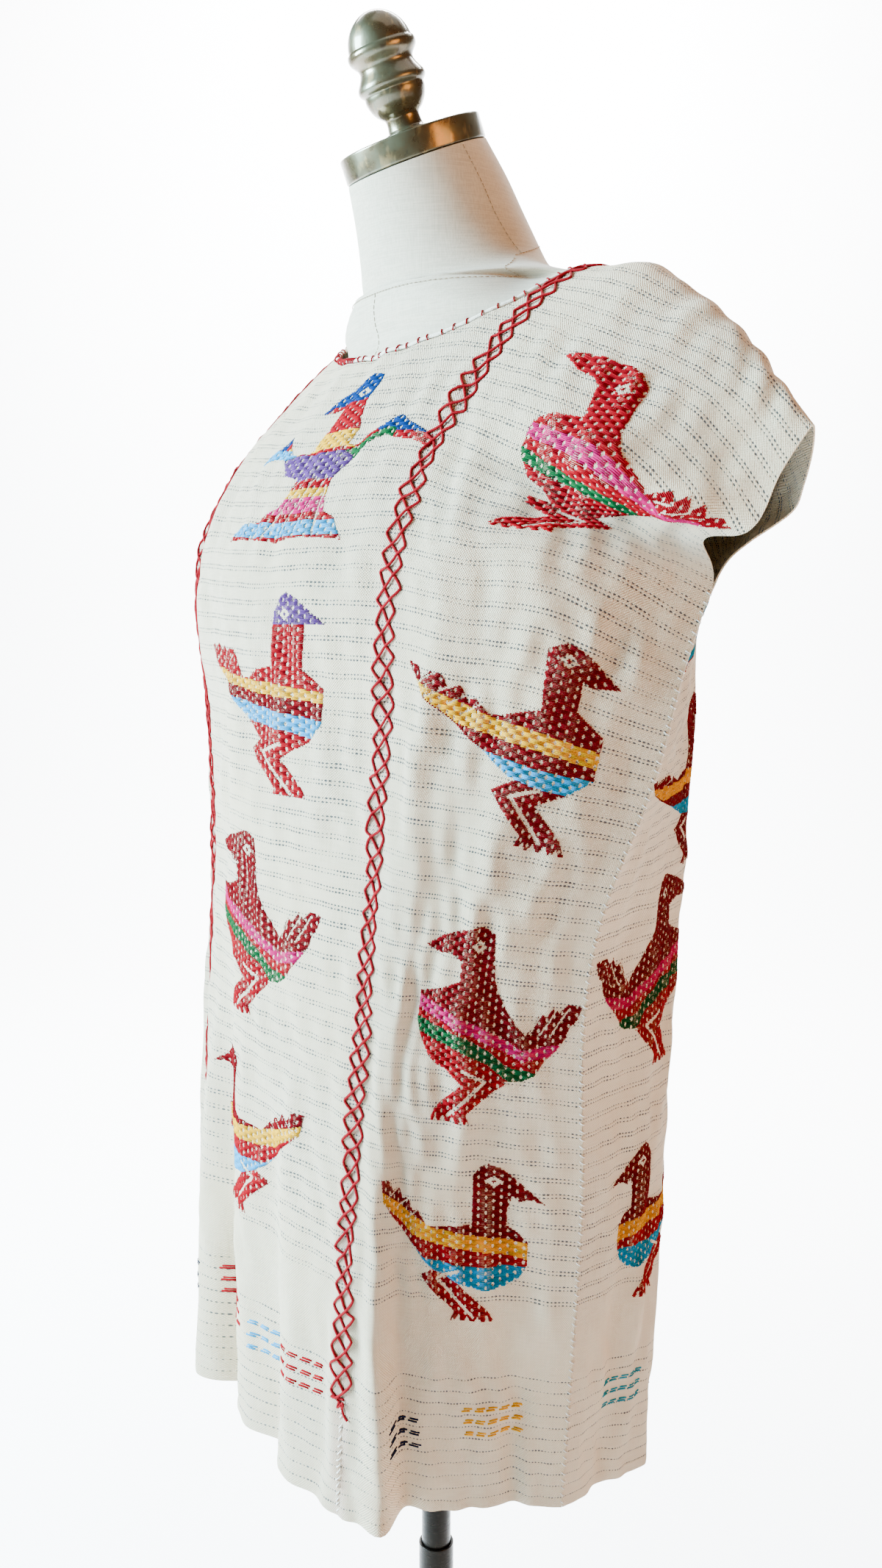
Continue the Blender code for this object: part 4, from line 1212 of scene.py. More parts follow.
class HUIPIL_OT_seams(bpy.types.Operator):
    """Red joining stitches, their knots, and the cream whip stitches of the other seams"""
    bl_idname = "huipil.seams"
    bl_label = "Seams"

    def execute(self, context):
        red = shared("red thread", lambda: thread_finish(
            "red thread", tuple(context.scene.huipil_yarns.red)))
        cream = shared("cream thread", lambda: thread_finish("cream thread", (0.82, 0.78, 0.70)))
        for number, (name, hand) in enumerate((("left", 1), ("right", -1))):
            blocks = joining_stitch(hand, 11 + number) + [knot(hand)]
            thread_piece("joining_stitch_" + name, blocks, red)
            front, back = [side * np.arange(RED_END[side] + WHIP_START, HEM - WHIP_END, WHIP_STEP)
                           for side in (FRONT, BACK)]
            whips = whip_row(hand * SEAM_U, np.concatenate([front, back]), 1.9 * MM,
                             0.9 * MM, 21 + number)
            sides = side_seam_stitches(hand, 31 + number)
            thread_piece("whipped_seams_" + name, [whips, sides], cream)
        return {"FINISHED"}


# ----------------------------------------------------------------- brocade

# A chart is drawn in millimetres, across and up from its lower left corner.
# Bands are upper edges: below each line its colour takes over.  Slits stay bare.
Chart = namedtuple("Chart", "bands outline hips slits eye stride",
                   defaults=((1.0, 1.0, 0.0),))
# Two zigzag legs and their toes, about the hips, for a bird that faces right.
LEGS = ((-25, -4), (-8, 4), (26, 5), (26, 1), (9, -8), (31, -25), (36, -33), (32, -33), (30, -29),
        (28, -33), (25, -33), (23, -29), (20, -33), (17, -33), (15, -29), (12, -33), (9, -33),
        (8, -29), (5, -32), (1, -32), (4, -26))
LEG_SLIT = ((9, 1), (-9, -5), (18, -28))
CHARTS = {
    "magenta_hen": Chart(
        bands=(("red", ((0, 200), (150, 200))),
               ("magenta", ((8, 79), (50, 77), (110, 74), (150, 92))),
               ("red", ((8, 71), (50, 69), (110, 66), (150, 84))),
               ("green", ((0, 67), (47, 58), (106, 57), (120, 50))),
               ("red", ((0, 60), (47, 51), (106, 50), (120, 44)))),
        outline=((0, 122), (12, 128), (24, 129), (41, 130), (52, 127), (60, 121), (61, 108),
                 (66, 88), (72, 81), (84, 78), (98, 76), (102, 80), (108, 86), (113, 84),
                 (118, 92), (123, 88), (128, 96), (133, 92), (140, 99), (149, 100), (140, 85),
                 (132, 76), (112, 63), (96, 48), (77, 34), (48, 29), (34, 44), (20, 50),
                 (11, 58), (8, 64), (9, 70), (10, 81), (20, 86), (38, 90), (34, 104), (32, 111),
                 (26, 115), (14, 116)),
        hips=(60, 31, -1), slits=(((104, 76), (112, 82)), ((112, 76), (124, 87)),
                                  ((120, 76), (134, 91))), eye=(47, 114), stride=(1.3, 0.78, 2.0)),
    "green_hen": Chart(
        bands=(("deep_red", ((0, 200), (150, 200))),
               ("magenta", ((0, 72), (30, 67), (68, 58), (96, 48), (134, 56))),
               ("red", ((0, 64), (30, 59), (68, 50), (96, 41), (134, 48))),
               ("green", ((0, 59), (49, 52), (72, 45), (86, 36), (120, 34))),
               ("red", ((0, 51), (49, 43), (72, 36), (88, 27), (120, 24)))),
        outline=((1, 102), (20, 109), (40, 114), (55, 118), (67, 115), (70, 100), (72, 88),
                 (77, 79), (84, 70), (92, 62), (98, 57), (103, 62), (107, 72), (112, 70),
                 (117, 77), (121, 73), (127, 79), (138, 78), (134, 68), (130, 66), (127, 58),
                 (121, 50), (112, 41), (106, 33), (97, 28), (88, 27), (70, 29), (46, 29),
                 (30, 31), (18, 37), (8, 46), (0, 57), (0, 74), (16, 76), (30, 80), (43, 84),
                 (42, 96), (30, 100), (16, 98)),
        hips=(62, 30, -1), slits=(((101, 58), (110, 74)), ((108, 58), (119, 75)),
                                  ((115, 58), (128, 76))), eye=(56, 106)),
    "yellow_hen": Chart(
        bands=(("deep_red", ((0, 200), (155, 200))),
               ("yellow", ((10, 78), (45, 70), (80, 63), (150, 59))),
               ("deep_red", ((12, 74), (45, 58), (95, 52), (152, 49))),
               ("light_blue", ((45, 56), (74, 45), (116, 41), (153, 42)))),
        outline=((0, 86), (12, 85), (16, 79), (24, 84), (33, 83), (38, 76), (46, 79), (52, 71),
                 (60, 73), (73, 65), (81, 65), (96, 69), (110, 73), (109, 80), (107, 88),
                 (105, 106), (117, 112), (127, 111), (138, 107), (155, 98), (144, 95),
                 (138, 93), (131, 95), (132, 87), (132, 78), (151, 68), (152, 42), (138, 30),
                 (118, 31), (98, 34), (75, 44), (45, 57), (21, 69)),
        hips=(112, 29, 1), slits=(((10, 75), (26, 83)), ((22, 70), (42, 79)),
                                  ((38, 68), (54, 75)), ((50, 64), (66, 70))), eye=(120, 103)),
    "plain_hen": Chart(
        bands=(("deep_red", ((0, 200), (150, 200))),
               ("yellow", ((3, 76), (40, 62), (60, 56), (88, 53), (132, 49))),
               ("red", ((3, 70), (39, 50), (60, 46), (88, 43), (132, 38))),
               ("light_blue", ((39, 44), (51, 36), (88, 32), (131, 33)))),
        outline=((0, 84), (10, 83), (14, 77), (22, 79), (27, 72), (34, 73), (40, 65), (45, 66),
                 (54, 57), (70, 57), (92, 60), (92, 82), (92, 91), (97, 97), (103, 100),
                 (112, 98), (120, 92), (132, 84), (142, 77), (130, 79), (124, 76), (120, 80),
                 (117, 70), (117, 59), (124, 56), (131, 50), (131, 34), (126, 25), (116, 19),
                 (101, 16), (80, 21), (62, 28), (51, 34), (39, 44), (20, 57), (3, 70)),
        hips=(72, 28, 1), slits=(((8, 72), (22, 79)), ((20, 66), (36, 73)),
                                 ((34, 60), (46, 66))), eye=(107, 89)),
    "purple_hen": Chart(
        bands=(("purple", ((0, 200), (150, 200))), ("red", ((0, 96), (150, 96))),
               ("yellow", ((21, 67), (62, 63), (90, 62), (144, 58))),
               ("deep_red", ((28, 60), (80, 55), (144, 52))),
               ("light_blue", ((48, 51), (95, 46), (143, 42))),
               ("red", ((70, 38), (115, 34), (132, 31)))),
        outline=((0, 80), (6, 81), (12, 78), (18, 82), (24, 78), (30, 81), (36, 77), (42, 80),
                 (48, 79), (62, 63), (72, 64), (82, 69), (97, 72), (97, 104), (103, 112),
                 (110, 115), (120, 111), (134, 103), (146, 96), (128, 96), (128, 70),
                 (144, 60), (143, 40), (132, 29), (123, 25), (89, 25), (70, 36), (48, 50),
                 (28, 60)),
        hips=(97, 25, 1), slits=(((14, 70), (24, 79)), ((25, 68), (36, 78)),
                                 ((37, 67), (46, 76))), eye=(109, 102)),
    "winged_bird": Chart(
        bands=(("royal", ((0, 200), (176, 200))),
               ("red", ((0, 56), (24, 60), (60, 91), (84, 92), (112, 93), (126, 67), (176, 65))),
               ("yellow", ((0, 50), (62, 71), (108, 70), (112, 30), (176, 30))),
               ("red", ((0, 50), (62, 59), (108, 59), (112, 30), (176, 30))),
               ("light_blue", ((0, 62), (45, 60), (47, 0))),
               ("green", ((101, 0), (103, 56), (120, 62), (134, 69), (142, 68), (144, 0))),
               ("purple", ((0, 46), (30, 52), (45, 57), (104, 56), (112, 53), (120, 30),
                           (176, 30))),
               ("red", ((0, 39), (130, 39))), ("yellow", ((0, 33), (130, 33))),
               ("magenta", ((0, 27), (130, 27))), ("red", ((0, 17), (130, 17))),
               ("light_blue", ((0, 12), (130, 12))), ("red", ((0, 3), (130, 3)))),
        outline=((50, 86), (56, 93), (66, 101), (76, 108), (84, 112), (93, 111), (96, 103),
                 (95, 93), (106, 71), (103, 60), (110, 60), (124, 68), (138, 78), (150, 72),
                 (176, 64), (174, 57), (160, 60), (145, 61), (134, 64), (120, 55), (110, 46), (104, 38),
                 (106, 28), (110, 18), (122, 13), (131, 0), (100, 2), (70, 0), (40, 2), (8, 0),
                 (20, 10), (46, 14), (62, 22), (67, 30), (66, 40), (44, 44), (34, 54), (20, 55),
                 (0, 50), (25, 71), (40, 58), (62, 58), (70, 76), (73, 90), (62, 87)),
        hips=None, slits=(((80, 40), (58, 3)), ((89, 40), (74, 3)), ((98, 40), (90, 3)),
                          ((71, 40), (40, 3)), ((103, 32), (108, 3))), eye=(86, 98)),
}


def inside(corners, x, y):
    """Even-odd test of points against a polygon, each edge as one array operation."""
    corners = np.asarray(corners, float)
    hit = np.zeros(x.shape, bool)
    for (ax, ay), (bx, by) in zip(corners, np.roll(corners, -1, 0)):
        if ay == by:
            continue
        crosses = (ay > y) != (by > y)
        hit ^= crosses & (x < (bx - ax) * (y - ay) / (by - ay) + ax)
    return hit


def off_line(path, x, y):
    """Distance of points from a path of straight pieces."""
    nearest = np.full(x.shape, np.inf)
    for (ax, ay), (bx, by) in zip(path, path[1:]):
        run = np.array([bx - ax, by - ay], float)
        share_of = ((x - ax) * run[0] + (y - ay) * run[1]) / (run @ run)
        share_of = np.clip(share_of, 0.0, 1.0)
        nearest = np.minimum(nearest, np.hypot(x - ax - share_of * run[0],
                                               y - ay - share_of * run[1]))
    return nearest


PALETTE = ("red", "deep_red", "yellow", "light_blue", "green", "magenta", "purple", "royal",
           "navy", "teal")
COLUMN = 10.7 / 24       # width of a chart's cells, in millimetres
SLIT, LEG_GAP = 0.45, 1.1    # half widths of the bare slits, in millimetres
EYE_WIDE, EYE_TALL, EYE_MIDDLE = 6.2, 3.9, 0.34    # the eye's lozenge and its filled part


def charted(chart):
    """The chart as a grid of colour numbers, 0 where nothing is woven, and its cell places."""
    row_pitch = bpy.context.scene.huipil_yarns.row_pitch / MM
    outline = np.array(chart.outline, float)
    columns = np.arange(outline[:, 0].min() - 1, outline[:, 0].max() + 1, COLUMN)
    rows = np.arange(-4.0, outline[:, 1].max() + 1, row_pitch)
    x, y = np.meshgrid(columns, rows)
    dyes = np.zeros(x.shape, int)
    for dye, edge in chart.bands:
        edge_x, edge_y = np.array(edge, float).T
        dyes[y < np.interp(x, edge_x, edge_y)] = PALETTE.index(dye) + 1
    woven = inside(outline, x, y)
    slits = [(slit, SLIT) for slit in chart.slits]
    if chart.hips:
        hip_x, hip_y, facing = chart.hips
        wide, tall, thicker = chart.stride
        stride = np.array([wide * facing, tall])
        legs = np.array(LEGS) * stride + (hip_x, hip_y)
        stepping = (inside(legs, x, y) | inside(legs + (0.0, thicker), x, y)) & ~woven
        dyes[stepping] = PALETTE.index(chart.bands[-2][0] if chart.bands[-1][0] == "light_blue"
                                       else chart.bands[-1][0]) + 1
        woven |= stepping
        slits.append((np.array(LEG_SLIT) * stride + (hip_x, hip_y), LEG_GAP))
    for slit, half in slits:
        woven &= off_line(slit, x, y) > half
    away = np.abs(x - chart.eye[0]) / EYE_WIDE + np.abs(y - chart.eye[1]) / EYE_TALL
    woven &= (away < EYE_MIDDLE) | (away > 1.0)
    return np.where(woven, dyes, 0), columns, rows


TIE_BAR, TIE_ARM = 0.90, 0.50    # half lengths of a tie-down's bar and of its arm, in millimetres


def tied_down(cells, columns, rows):
    """Clears the tie-downs, small bare crosses in staggered rows three floats apart."""
    tie = bpy.context.scene.huipil_yarns.tie_pitch / MM
    number = np.arange(len(rows))[:, None]
    cross = (number + 1) // 3
    phase = columns[None] / tie + (cross % 2) * 0.5
    off = np.abs(phase - np.round(phase)) * tie
    bare = off < np.where(number % 3 == 0, TIE_BAR, TIE_ARM)
    return np.where(bare, 0, cells)


def chart_floats(chart):
    """Runs of one colour along each row of a chart: start, end, height up, colour number."""
    cells, columns, rows = charted(chart)
    cells = tied_down(cells, columns, rows)
    padded = np.pad(cells, ((0, 0), (1, 1)))
    row_of, edge_of = np.nonzero(padded[:, 1:] != padded[:, :-1])
    run = cells[row_of[:-1], np.minimum(edge_of[:-1], cells.shape[1] - 1)]
    keep = (row_of[:-1] == row_of[1:]) & (run > 0)
    start = columns[edge_of[:-1][keep]] - COLUMN / 2
    end = columns[edge_of[1:][keep] - 1] + COLUMN / 2
    return start, end, rows[row_of[:-1][keep]], run[keep] - 1


Bird = namedtuple("Bird", "chart left feet side turned")


def placed_floats(bird):
    """A bird's floats on the weaving: u from, u to, woven length, colour, half width.

    left is u at the bird's left end as seen from outside, feet the woven length
    at its feet, both in millimetres; a turned bird is mirrored.
    """
    start, end, up, dye = chart_floats(CHARTS[bird.chart])
    if bird.turned:
        width = max(x for x, _ in CHARTS[bird.chart].outline)
        start, end = width - end, width - start
    rightwards = -bird.side
    ends = (bird.left + rightwards * start) * MM, (bird.left + rightwards * end) * MM
    woven = (bird.feet - bird.side * up) * MM
    half = bpy.context.scene.huipil_yarns.row_pitch * 0.62
    return np.minimum(*ends), np.maximum(*ends), woven, dye, np.full(len(dye), half)


Dashes = namedtuple("Dashes", "dye middle first count side")


# In millimetres: a dash's length and yarn, and from one dash, row or yarn to the next.
DASH_LONG, DASH_YARN, DASH_STEP, DASH_ROW_STEP, DASH_PAIR = 8.0, 1.7, 10.8, 8.2, 0.8
DASH_ROWS = 3


def dash_floats(dashes, draw):
    """Rows of short double floats near the hem."""
    across = (np.arange(dashes.count) - (dashes.count - 1) / 2) * DASH_STEP + dashes.middle
    rows = dashes.first + dashes.side * DASH_ROW_STEP * np.arange(DASH_ROWS)
    u, w = np.meshgrid(across, rows)
    u = np.repeat(u.ravel(), 2) + draw.normal(0.0, 0.3, 2 * u.size)
    pair = np.tile([DASH_PAIR, -DASH_PAIR], w.size)
    w = np.repeat(w.ravel(), 2) + pair
    low, high = (u - DASH_LONG / 2 + pair) * MM, (u + DASH_LONG / 2 + pair) * MM
    dye = np.full(len(u), PALETTE.index(dashes.dye))
    return low, high, w * MM, dye, np.full(len(u), DASH_YARN / 2 * MM)


STATIONS = 3             # places along a float, each with two feet and a crest
FLOAT_POINTS = 3 * STATIONS + 2
FLOAT_TAPER = 0.3        # a float's blunt end, in millimetres, and as a share of its length
FLOAT_SINK = 0.15 * MM   # how far its feet lie in the cloth
FLOAT_UNEVEN = 0.16 * MM    # how much its ends come and go


def float_mesh(name, floats, seed):
    """Weft floats: each a low ridge through three stations with blunt ends, closed below."""
    settings = bpy.context.scene.huipil_yarns
    draw = np.random.default_rng(seed)
    low, high, woven, dye, half = (np.concatenate(column) for column in zip(*floats))
    low = low + draw.normal(0.0, FLOAT_UNEVEN, len(low))
    high = high + draw.normal(0.0, FLOAT_UNEVEN, len(high))
    taper = np.minimum(FLOAT_TAPER * MM, (high - low) * FLOAT_TAPER)[:, None]
    low, high = low[:, None], high[:, None]
    stations = low + taper + (high - low - 2.0 * taper) * np.linspace(0.0, 1.0, STATIONS)
    u = np.concatenate([low, np.repeat(stations, 3, axis=1), high], 1)
    off = np.array([0.0] + [-1.0, 0.0, 1.0] * STATIONS + [0.0]) * half[:, None]
    ridge = np.array([0.0] + [0.0, 1.0, 0.0] * STATIONS + [0.0])
    top = settings.yarn_height * draw.uniform(0.8, 1.2, (len(low), 1))
    height = np.where(ridge > 0.0, top, -FLOAT_SINK)
    along = woven[:, None] + off
    points = weaving().place(u, weaving().on_surface(u, along), height)[0]
    tip = FLOAT_POINTS - 1
    ends = np.array([[0, 1, 2], [0, 2, 3], [0, 3, 1], [tip, tip - 2, tip - 3],
                     [tip, tip - 1, tip - 2], [tip, tip - 3, tip - 1]])
    side = np.array([[1, 4, 5, 2], [2, 5, 6, 3], [3, 6, 4, 1]])
    sides = np.concatenate([side + 3 * number for number in range(STATIONS - 1)])
    first = np.arange(len(low))[:, None, None] * FLOAT_POINTS
    shades = np.array([tuple(getattr(settings, dye_name)) for dye_name in PALETTE])[dye]
    shades = shades * draw.uniform(0.82, 1.12, (len(dye), 1))
    shades = np.concatenate([np.clip(shades, 0.0, 1.0), np.ones((len(dye), 1))], -1)
    return mesh_piece(name, points, [(ends + first).reshape(-1, 3), (sides + first).reshape(-1, 4)],
                      shared("yarn", yarn_finish), {"dye": np.repeat(shades, FLOAT_POINTS, axis=0)})


BROCADE = {
    "side_width_left": (
        Bird("magenta_hen", 180, -200, FRONT, False),
        Bird("yellow_hen", 148, -362, FRONT, False),
        Bird("green_hen", 196, -531, FRONT, False),
        Bird("plain_hen", 169, -658, FRONT, False),
        Dashes("navy", 190, -730, 3, FRONT), Dashes("yellow", 272, -722, 5, FRONT),
        Bird("winged_bird", 318, 205, BACK, False),
        Bird("yellow_hen", 334, 382, BACK, False),
        Bird("green_hen", 330, 505, BACK, True),
        Bird("plain_hen", 297, 655, BACK, True),
        Dashes("teal", 262, 716, 5, BACK), Dashes("red", 170, 722, 4, BACK)),
    "side_width_right": (
        Bird("magenta_hen", -329, -200, FRONT, True),
        Bird("plain_hen", -310, -350, FRONT, False),
        Bird("yellow_hen", -300, -512, FRONT, True),
        Bird("green_hen", -306, -656, FRONT, True),
        Dashes("green", -200, -725, 4, FRONT), Dashes("magenta", -280, -725, 5, FRONT),
        Bird("green_hen", -170, 198, BACK, True),
        Bird("winged_bird", -145, 352, BACK, False),
        Bird("magenta_hen", -160, 512, BACK, False),
        Bird("yellow_hen", -158, 655, BACK, False),
        Dashes("yellow", -190, 722, 4, BACK), Dashes("royal", -275, 722, 5, BACK)),
    "front_middle_width": (
        Bird("winged_bird", -53, -212, FRONT, False),
        Bird("purple_hen", -69, -358, FRONT, False),
        Bird("green_hen", -60, -508, FRONT, False),
        Bird("plain_hen", -72, -640, FRONT, True),
        Dashes("red", -40, -708, 5, FRONT), Dashes("light_blue", 14, -716, 3, FRONT),
        Dashes("red", 74, -707, 4, FRONT), Dashes("navy", -100, -712, 3, FRONT)),
    "back_middle_width": (
        Bird("yellow_hen", 76, 208, BACK, True),
        Bird("magenta_hen", 74, 358, BACK, False),
        Bird("winged_bird", 88, 500, BACK, False),
        Bird("purple_hen", 72, 650, BACK, True),
        Dashes("green", 64, 722, 5, BACK), Dashes("red", -8, 722, 4, BACK),
        Dashes("yellow", -78, 722, 4, BACK)),
}


class HUIPIL_OT_brocade(bpy.types.Operator):
    """Brocaded birds and hem dashes on each loom width"""
    bl_idname = "huipil.brocade"
    bl_label = "Brocade"

    def execute(self, context):
        for number, (node, figures) in enumerate(BROCADE.items()):
            draw = np.random.default_rng(90 + number)
            floats = [placed_floats(figure) if isinstance(figure, Bird)
                      else dash_floats(figure, draw) for figure in figures]
            piece = float_mesh("brocade_" + node, floats, 50 + number)
            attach(piece, "form")
        return {"FINISHED"}


# -------------------------------------------------------------- dress form

# Level rings of the body and tilted rings of the neck, in centimetres, as in the solids.
Ring = namedtuple("Ring", "y z tilt half_width front back square flare_half flare_front")
RINGS = tuple(Ring(*row) for row in (
    (-0.8, 74.0, 0.0, 14.6, 9.3, 9.2, 2.2, 1.0, 1.0),
    (-0.8, 82.0, 0.0, 15.2, 9.6, 9.4, 2.2, 1.0, 1.0),
    (-0.9, 92.0, 0.0, 13.9, 8.8, 8.6, 2.2, 1.0, 1.0),
    (-0.9, 101.0, 0.0, 11.6, 8.0, 7.9, 2.1, 1.0, 1.0),
    (-0.8, 108.0, 0.0, 12.6, 9.0, 8.5, 2.1, 1.0, 1.0),
    (-0.6, 116.0, 0.0, 14.6, 11.4, 10.0, 2.1, 1.0, 1.0),
    (-0.2, 121.0, 0.0, 15.6, 10.6, 10.2, 2.2, 1.0, 1.0),
    (0.6, 127.0, 0.0, 17.0, 8.2, 8.6, 2.4, 1.0, 1.0),
    (1.8, 130.6, 0.0, 17.6, 6.2, 6.4, 2.3, 9.4, 6.8),
    (2.6, 133.0, 0.0, 17.8, 5.2, 4.9, 1.9, 9.6, 7.1),
    (2.9, 134.3, 0.0, 17.3, 4.8, 4.1, 1.6, 10.2, 7.7),
    (3.1, 135.15, 0.0, 15.9, 3.7, 3.3, 1.6, 9.7, 8.0),
    (3.1, 135.85, 0.0, 13.2, 2.7, 2.3, 1.6, 8.9, 7.92),
    (3.0, 136.3, 0.0, 11.0, 2.4, 2.2, 1.6, 8.1, 7.75),
    (2.0, 136.9, 4.0, 8.8, 6.2, 4.2, 1.7, 7.0, 6.2),
    (1.0, 137.9, 12.0, 6.9, 5.8, 5.2, 2.0, 1.0, 1.0),
    (0.1, 139.8, 21.5, 5.8, 5.5, 5.3, 2.0, 1.0, 1.0),
    (-0.7, 142.0, 21.5, 5.2, 5.1, 5.0, 2.0, 1.0, 1.0),
    (-1.75, 144.3, 21.5, 4.65, 4.6, 4.6, 2.0, 1.0, 1.0),
))
FLARE_SQUARE = 2.5
FLARE_BACK = 0.47
FLARE_BLEND = 8.0
NECK_TILT = math.radians(RINGS[-1].tilt)
COVER_STITCH = 3.6 * MM
CAP_FOOT = np.array([0.0, -0.0136, 1.4433])
CAP_RADIUS = 0.0460
CAP_HEIGHT = 0.0155


def squarish(x, y, square):
    """How far a superellipse of half axes 1 reaches along the direction of x, y, over x, y."""
    return (np.abs(x) ** square + np.abs(y) ** square) ** (-1.0 / square)


def form_points(turn, level, swell=0.0):
    """Points of the form's skin at a turn round it and a level counted in rings."""
    table = smooth(np.arange(len(RINGS), dtype=float), np.array(RINGS), level)
    ring = Ring(*np.moveaxis(table, -1, 0))
    ahead = np.sin(turn) < 0.0
    reach = np.where(ahead, ring.front, ring.back)
    flare_reach = np.where(ahead, ring.flare_front, ring.flare_half * FLARE_BACK)
    x, y = ring.half_width * np.cos(turn), reach * np.sin(turn)
    oval = squarish(x / ring.half_width, y / reach, ring.square)
    flare = squarish(x / ring.flare_half, y / flare_reach, FLARE_SQUARE)
    scale = (oval ** FLARE_BLEND + flare ** FLARE_BLEND) ** (1.0 / FLARE_BLEND)
    size = np.hypot(x, y) * scale
    scale = scale * (1.0 + swell / CM / size)
    lean = np.radians(ring.tilt)
    return np.stack([x * scale, FORM_Y + ring.y + y * scale * np.cos(lean),
                     ring.z + y * scale * np.sin(lean)], -1) * CM


def form_skin():
    """Covered body and neck, closed by a flat cap at each end."""
    around, per_ring = 128, 5
    turn = np.linspace(0.0, 2.0 * math.pi, around, endpoint=False)
    level = np.linspace(0.0, len(RINGS) - 1.0, (len(RINGS) - 1) * per_ring + 1)
    turns, levels = np.meshgrid(turn, level)
    points = form_points(turns, levels, -0.35 * MM).reshape(-1, 3)
    low, high = len(points), len(points) + 1
    ends = [points[:around].mean(0), points[-around:].mean(0)]
    points = np.concatenate([points, ends])
    first = np.arange(around)
    last = first + (len(level) - 1) * around
    bottom = np.stack([np.roll(first, -1), first, np.full(around, low)], -1)
    top = np.stack([last, np.roll(last, -1), np.full(around, high)], -1)
    return points, [grid_faces(len(level), around, wrap=True), bottom, top]


def neck_seam_level(turn):
    """Where the neck's seam runs, in rings: lowest in front, nearly level behind."""
    lean = np.sin(turn)
    return 14.9 + np.where(lean < 0.0, 2.4, 0.4) * lean


def form_stitches():
    """Short stitches along the cover's seams: the neck's foot, its sides and its middles."""
    round_turn = np.linspace(0.0, 2.0 * math.pi, 900)
    lines = [(round_turn, neck_seam_level(round_turn))]
    for turn in (0.13, math.pi - 0.13):
        level = np.linspace(neck_seam_level(turn), len(RINGS) - 1.0, 300)
        lines.append((np.full(300, turn), level))
    for turn in (0.5 * math.pi, 1.5 * math.pi):
        level = np.linspace(neck_seam_level(turn), 8.0, 300)
        lines.append((np.full(300, turn), level))
    blocks = []
    for turn, level in lines:
        spine = form_points(turn, level, -0.1 * MM)
        out = form_points(turn, level, 1.0 * MM) - spine
        out /= np.linalg.norm(out, axis=-1, keepdims=True)
        run = np.concatenate([[0.0], np.cumsum(np.linalg.norm(np.diff(spine, axis=0), axis=-1))])
        first = np.arange(0.0, run[-1] - COVER_STITCH, COVER_STITCH)
        at = first[:, None] + COVER_STITCH * np.linspace(0.0, 0.68, 4)
        dashes = np.stack([np.interp(at, run, spine[:, axis]) for axis in range(3)], -1)
        normals = np.stack([np.interp(at, run, out[:, axis]) for axis in range(3)], -1)
        blocks.append(tubes(dashes, normals, 0.28 * MM, sides=5))
    return blocks


class HUIPIL_OT_form(bpy.types.Operator):
    """Covered dress form with its stitched seams"""
    bl_idname = "huipil.form"
    bl_label = "Dress Form"

    def execute(self, context):
        points, faces = form_skin()
        piece = mesh_piece("form_cover", points, faces, shared("cover", cover_finish))
        piece.data.set_sharp_from_angle(angle=math.radians(50.0))
        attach(piece, "form")
        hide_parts("form_body")
        seam = shared("cover thread", lambda: thread_finish("cover thread", (0.40, 0.33, 0.23)))
        thread_piece("form_seam_stitches", form_stitches(), seam)
        return {"FINISHED"}


# Turned finial, in centimetres: height above the cap, radius.
FINIAL = (
    (0.00, 1.40), (0.10, 1.46), (0.32, 1.46), (0.44, 1.20), (0.60, 1.12), (1.05, 1.08),
    (1.27, 1.14), (1.50, 1.42), (1.90, 1.72), (2.37, 1.90), (2.62, 1.93), (2.80, 1.93),
    (2.95, 2.08), (3.15, 2.18), (3.38, 2.14), (3.60, 2.02), (3.90, 1.84), (4.18, 1.74),
    (4.40, 1.78), (4.62, 1.95), (4.85, 2.13), (5.10, 2.19), (5.32, 2.15), (5.45, 2.04),
    (5.55, 2.02), (5.75, 1.98), (6.10, 1.87), (6.46, 1.69), (6.80, 1.42), (7.06, 1.12),
    (7.25, 0.82), (7.38, 0.48), (7.43, 0.15),
)


def up_the_neck(points, distance):
    """Turns a lathe's points to the neck's lean and lifts them along it."""
    lean = np.array([[1.0, 0.0, 0.0],
                     [0.0, math.cos(NECK_TILT), -math.sin(NECK_TILT)],
                     [0.0, math.sin(NECK_TILT), math.cos(NECK_TILT)]])
    axis = lean @ np.array([0.0, 0.0, 1.0])
    return np.asarray(points) @ lean.T + CAP_FOOT + axis * distance


class HUIPIL_OT_top(bpy.types.Operator):
    """Neck cap and turned finial in aged bronze"""
    bl_idname = "huipil.top"
    bl_label = "Cap and Finial"

    def execute(self, context):
        cap = rounded(((0.0, 0.0005), (0.0, CAP_RADIUS), (CAP_HEIGHT, CAP_RADIUS),
                       (CAP_HEIGHT, 0.0005)), 1.4 * MM)
        knots = np.array(FINIAL) * CM
        fine = smooth_path(knots, 3)
        finish = shared("bronze", bronze_finish)
        for name, profile, foot in (("neck_cap", cap, 0.0003),
                                    ("finial", fine, CAP_HEIGHT + 0.0006)):
            points, faces = lathe(profile)
            piece = mesh_piece("turned_" + name, up_the_neck(points, foot), faces, finish)
            piece.data.set_sharp_from_angle(angle=math.radians(50.0))
            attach(piece, "form")
            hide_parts(name)
        return {"FINISHED"}


# ------------------------------------------------------------------- stand


def stand_piece(name, profile, node, body, around=96, faces_and_points=None):
    """A turned steel piece that stands for its solid."""
    points, faces = faces_and_points or lathe(profile, around)
    piece = mesh_piece(name, points, faces, shared("steel", steel_finish))
    piece.data.set_sharp_from_angle(angle=math.radians(40.0))
    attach(piece, body)
    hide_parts(node)
    return piece


